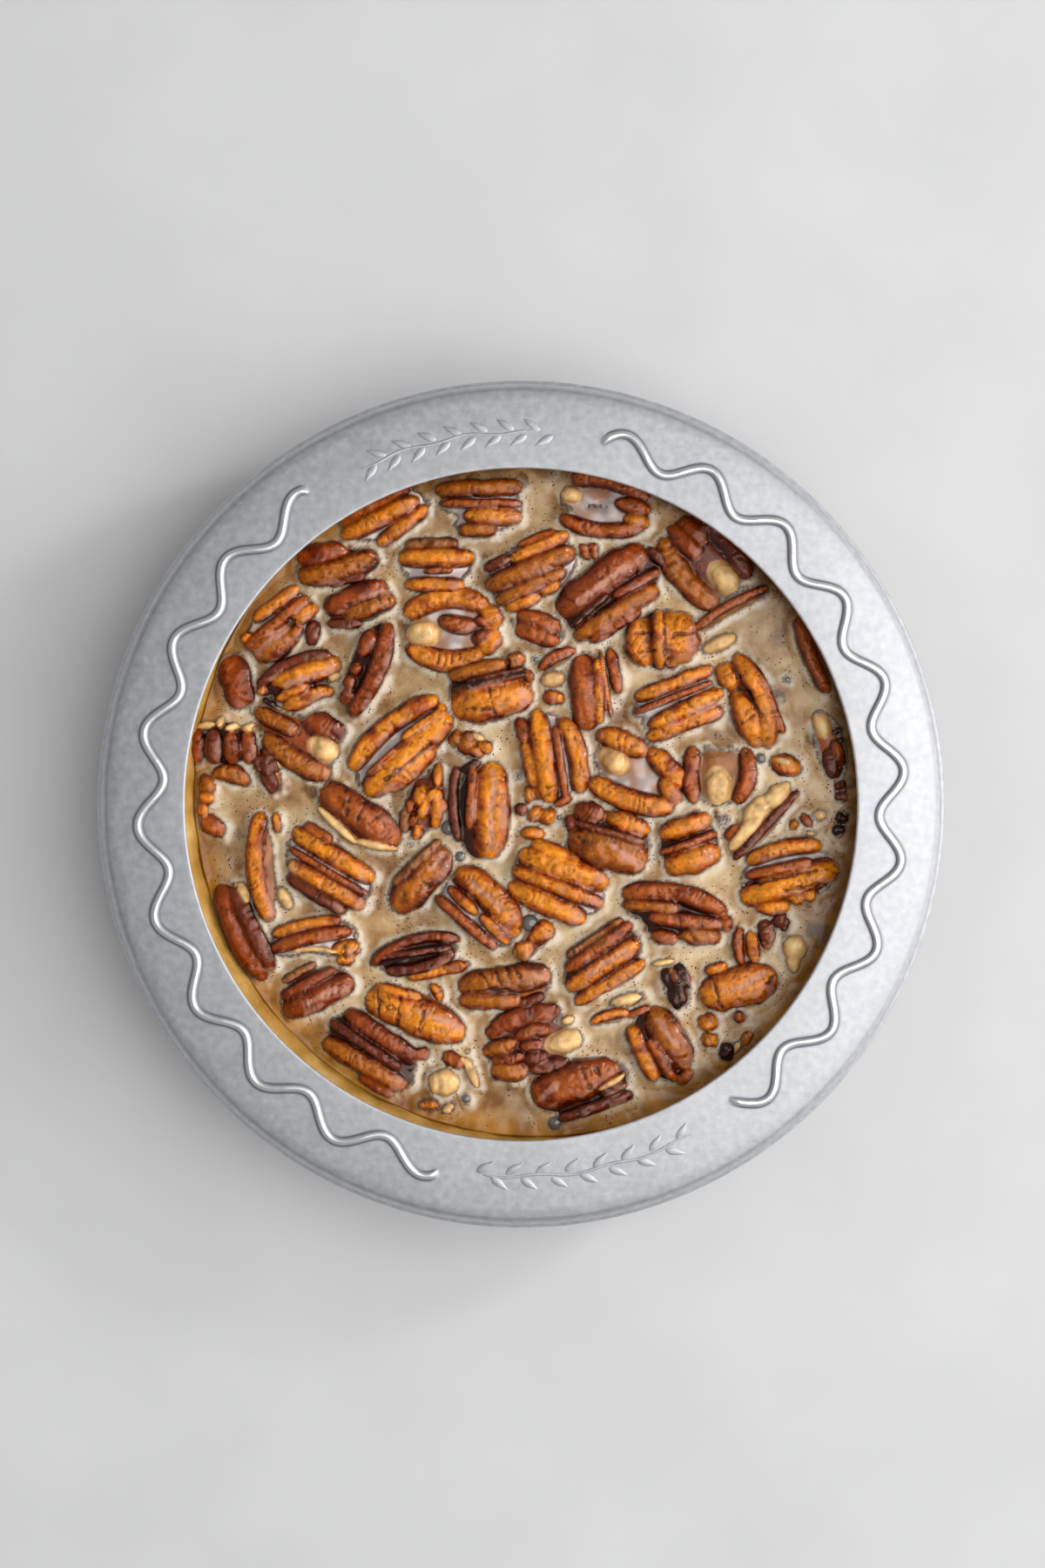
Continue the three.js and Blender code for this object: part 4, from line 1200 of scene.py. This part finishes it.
def makeCustard():
    bm = bmesh.new()
    bmesh.ops.create_grid(bm, x_segments=custard["cells"], y_segments=custard["cells"], size=1)
    count = len(bm.verts)
    rim = [edge for edge in bm.edges if edge.is_boundary]
    for _ in range(2):
        made = bmesh.ops.extrude_edge_only(bm, edges=rim)["geom"]
        rim = [part for part in made if isinstance(part, bmesh.types.BMEdge) and part.is_boundary]
    bmesh.ops.holes_fill(bm, edges=rim, sides=0)
    mesh = meshOf(bm, "custard")
    square = readPoints(mesh) * mm
    x, y = square[:, 0], square[:, 1]
    disc = np.stack((x * np.sqrt(1 - y * y / 2), y * np.sqrt(1 - x * x / 2)), 1)
    angle = np.arctan2(disc[:, 1], disc[:, 0])
    wall = dough["wallRadius"] - leanIn(angle)
    radius = np.hypot(disc[:, 0], disc[:, 1]) * (wall - 0.1)
    height = np.full(len(radius), level)
    lower = np.arange(len(radius)) - count
    below = (len(radius) - count) / 2
    for ring, key in enumerate(("foot", "floor")):
        chosen = (lower >= ring * below) & (lower < (ring + 1) * below)
        radius[chosen] = custard[key][0] - 0.5 * leanIn(angle[chosen]) * (1 - ring)
        height[chosen] = custard[key][1]
    spots = np.stack((radius * np.cos(angle), radius * np.sin(angle)), 1)
    gap = np.full(len(radius), 9.0)
    gap[:count] = surface.toNuts(spots[:count])
    height[:count] = surface.height(spots[:count], gap[:count])
    writePoints(mesh, np.concatenate((spots, height[:, None]), 1))

    # milky where it clings to the nuts, with a painted highlight that lies mostly on their right and lower
    # sides
    aside = np.full(len(radius), 9.0)
    aside[:count] = surface.toNuts(spots[:count] - (1.0, -0.5))
    lumps = ripple(spots, 7, 23)
    blur = 0.22 * ripple(spots, 3, 24)
    milky, reach = custard["film"]
    film = milky * smoothStep(reach + 0.7 * lumps + blur, 0.0, np.minimum(gap, aside))
    toWall = wall - radius
    film = film * smoothStep(-2.2, 0.6, lumps + 2 * blur) * (0.25 + 0.75 * smoothStep(3, 9, toWall))
    width, wider, towards = custard["syrup"]
    width = width + wider * np.cos(angle - math.radians(towards)) + 1.2 * blur
    # painted shade: the shield's shadow on the custard by the wall towards the upper right, and darker beside
    # the wall on the left
    wallShade = sum(dark * np.clip(np.cos(angle - math.radians(side)), 0, 1) ** sharp
               for side, dark, sharp in custard["wallShade"])
    wallShade = wallShade * smoothStep(custard["wallShadeReach"] + 4 * ripple(spots, 16, 25), 0.0, toWall)
    # painted shade: darker towards the upper left, away from the light; browner at random as well
    shade = custard["shade"] + 0.1 * (spots @ (-0.8, 0.6)) / 100 + 0.1 * ripple(spots, 24, 26)
    for x, y, size, less in custard["paler"]:
        shade = shade - less * np.exp(-((np.hypot(*(spots - (x, y)).T) / size) ** 2))
    for x, y, size, dark in custard["sunken"]:
        away = np.hypot(*(spots - (x, y)).T) + 0.9 * size * (0.3 * lumps + 0.5 * blur)
        shade = np.maximum(shade, dark * smoothStep(1.15 * size, 0.25 * size, away))
    writeAttribute(mesh, "film", "FLOAT", film)
    # painted shade: a dark line where the custard meets each nut
    writeAttribute(mesh, "contact_shade", "FLOAT", 0.9 * smoothStep(0.5, 0.05, gap))
    writeAttribute(mesh, "syrup", "FLOAT", smoothStep(width, 1.0, toWall))
    writeAttribute(mesh, "shade", "FLOAT", np.maximum(shade, wallShade))
    return facingOut(mesh)


# Uncooked custard of egg, butter and syrup: opaque beige with a wet shine, milky where it clings
# to the nuts, clear amber along the wall, browner over sunken nuts, and full of specks. Painted shade is
# added as well: a dark line round each nut, the shield's shadow and shade along the wall, darker towards
# the upper left, and a painted highlight in the milky film on the nuts' right and lower sides.
def rawCustard():
    cream, tree, shader = newMaterial("raw_custard", Roughness=0.2, Specular_IOR_Level=0.35, Coat_Weight=0.15,
                                      Coat_Roughness=0.06)
    where = place(tree)
    clouds = noise(tree, where, 16, 5, Roughness=0.6)
    tone = ramp(tree, clouds, (0.34, "946435"), (0.5, "cca471"), (0.66, "edd0a0"))
    amber = ramp(tree, noise(tree, where, 7, 4), (0.35, "9a5f12"), (0.65, "cf9028"))
    dust = remap(tree, noise(tree, where, 0.7, 4, Roughness=0.7), (0.35, 0.65), (0.78, 1.12))
    shade = compute(tree, "MULTIPLY", painted(tree, "shade"), dust, use_clamp=True)
    # the painted shade comes in with shade and contact_shade, the painted highlight with film
    layers = [(painted(tree, "syrup"), amber), (shade, "3f1c07"), (painted(tree, "film"), "f0e0c6"),
              (painted(tree, "contact_shade"), "41240f")]
    for share, colour in layers:
        tone = blend(tree, share, tone, colour)
    froth = addNode(tree, "TexVoronoi", {"Vector": where, "Scale": perMetre(0.9)}, feature="F1")
    dots = remap(tree, froth.outputs["Distance"], (0.12, 0.3), (0.24, 0))
    patches = remap(tree, noise(tree, where, 8), (0.42, 0.62), (0, 1))
    tone = blend(tree, compute(tree, "MULTIPLY", dots, patches), tone, "5d4526")
    setInputs(tree, shader, {"Base Color": tone, "Normal": bump(tree, noise(tree, where, 3, 4), 0.12, 0.5)})
    return cream


finishPiece("custard", makeCustard(), rawCustard(), ["filling"])
print("custard made")


# Thin films of syrup round air, glassy and hard in their shine. Their dark grey is a painted reflection of
# the dark above them, lighter in the middle and darker towards the rim as painted shade.
def bubbleFilm():
    film, tree, shader = newMaterial("bubble_film", Roughness=0.06, Coat_Weight=1.0, Coat_Roughness=0.03)
    # painted: lighter grey where a bubble faces the camera, darker towards its rim
    facing = addNode(tree, "LayerWeight", {"Blend": 0.4}).outputs["Facing"]
    setInputs(tree, shader, {"Base Color": ramp(tree, facing, (0, "6d675e"), (0.75, "2c2621"))})
    return film


def makeBubbles():
    bm = bmesh.new()
    for x, y, radius in custard["bubbles"]:
        dome = bmesh.ops.create_uvsphere(bm, u_segments=28, v_segments=16, radius=radius)["verts"]
        bmesh.ops.scale(bm, verts=dome, vec=(1, 1, 0.7))
        bmesh.ops.translate(bm, verts=dome, vec=(x, y, level - 0.1 * radius))
    return meshInMillimetres(bm, "bubbles")


# Ground nut and spice: near-black grains that float in drifts.
def darkDust():
    dust, tree, shader = newMaterial("nut_dust", Roughness=0.5)
    mixed = noise(tree, place(tree), 5)
    setInputs(tree, shader, {"Base Color": ramp(tree, mixed, (0.4, "1c120b"), (0.62, "4a2c17"))})
    return dust


def makeSpecks():
    rng = np.random.default_rng(77)
    reach = custard["speckReach"]
    spots = rng.uniform(-reach, reach, (9 * custard["specks"], 2))  # more than are wanted: most are dropped
    gap = surface.toNuts(spots)
    drift = ripple(spots, 17, 78) + 0.8 * ripple(spots, 7, 79)
    chance = smoothStep(-1.4, 1.6, drift) * (0.35 + 0.65 * smoothStep(6, 0.8, gap))
    bubbles = np.array(custard["bubbles"])
    clear = (np.linalg.norm(spots[:, None] - bubbles[:, :2], axis=2) - bubbles[:, 2]).min(1)
    kept = (surface.toWall(spots) > 1.5) & (gap > 0.5) & (clear > 0.3) & openCustard(spots)
    kept &= rng.random(len(spots)) < chance
    spots, gap = spots[kept][: custard["specks"]], gap[kept][: custard["specks"]]
    bm = bmesh.new()
    for (x, y), z in zip(spots, surface.height(spots, gap)):
        size = rng.uniform(*custard["speckSize"])
        grain = bmesh.ops.create_icosphere(bm, subdivisions=1, radius=size)["verts"]
        stretch = (rng.uniform(0.7, 1.4), rng.uniform(0.7, 1.2), 0.5)
        bmesh.ops.scale(bm, verts=grain, vec=stretch)
        bmesh.ops.translate(bm, verts=grain, vec=(x, y, z))
    return meshInMillimetres(bm, "specks")


# Whether nothing stands in the custard at a spot: no nut lies straight above it.
def openCustard(spots):
    tree = surface.lid
    return np.array([tree.ray_cast((x * mm, y * mm, 0.1), (0, 0, -1))[0] is None for x, y in spots])


finishPiece("custard_bubbles", makeBubbles(), bubbleFilm())
finishPiece("custard_specks", makeSpecks(), darkDust())
print("bubbles and specks made")
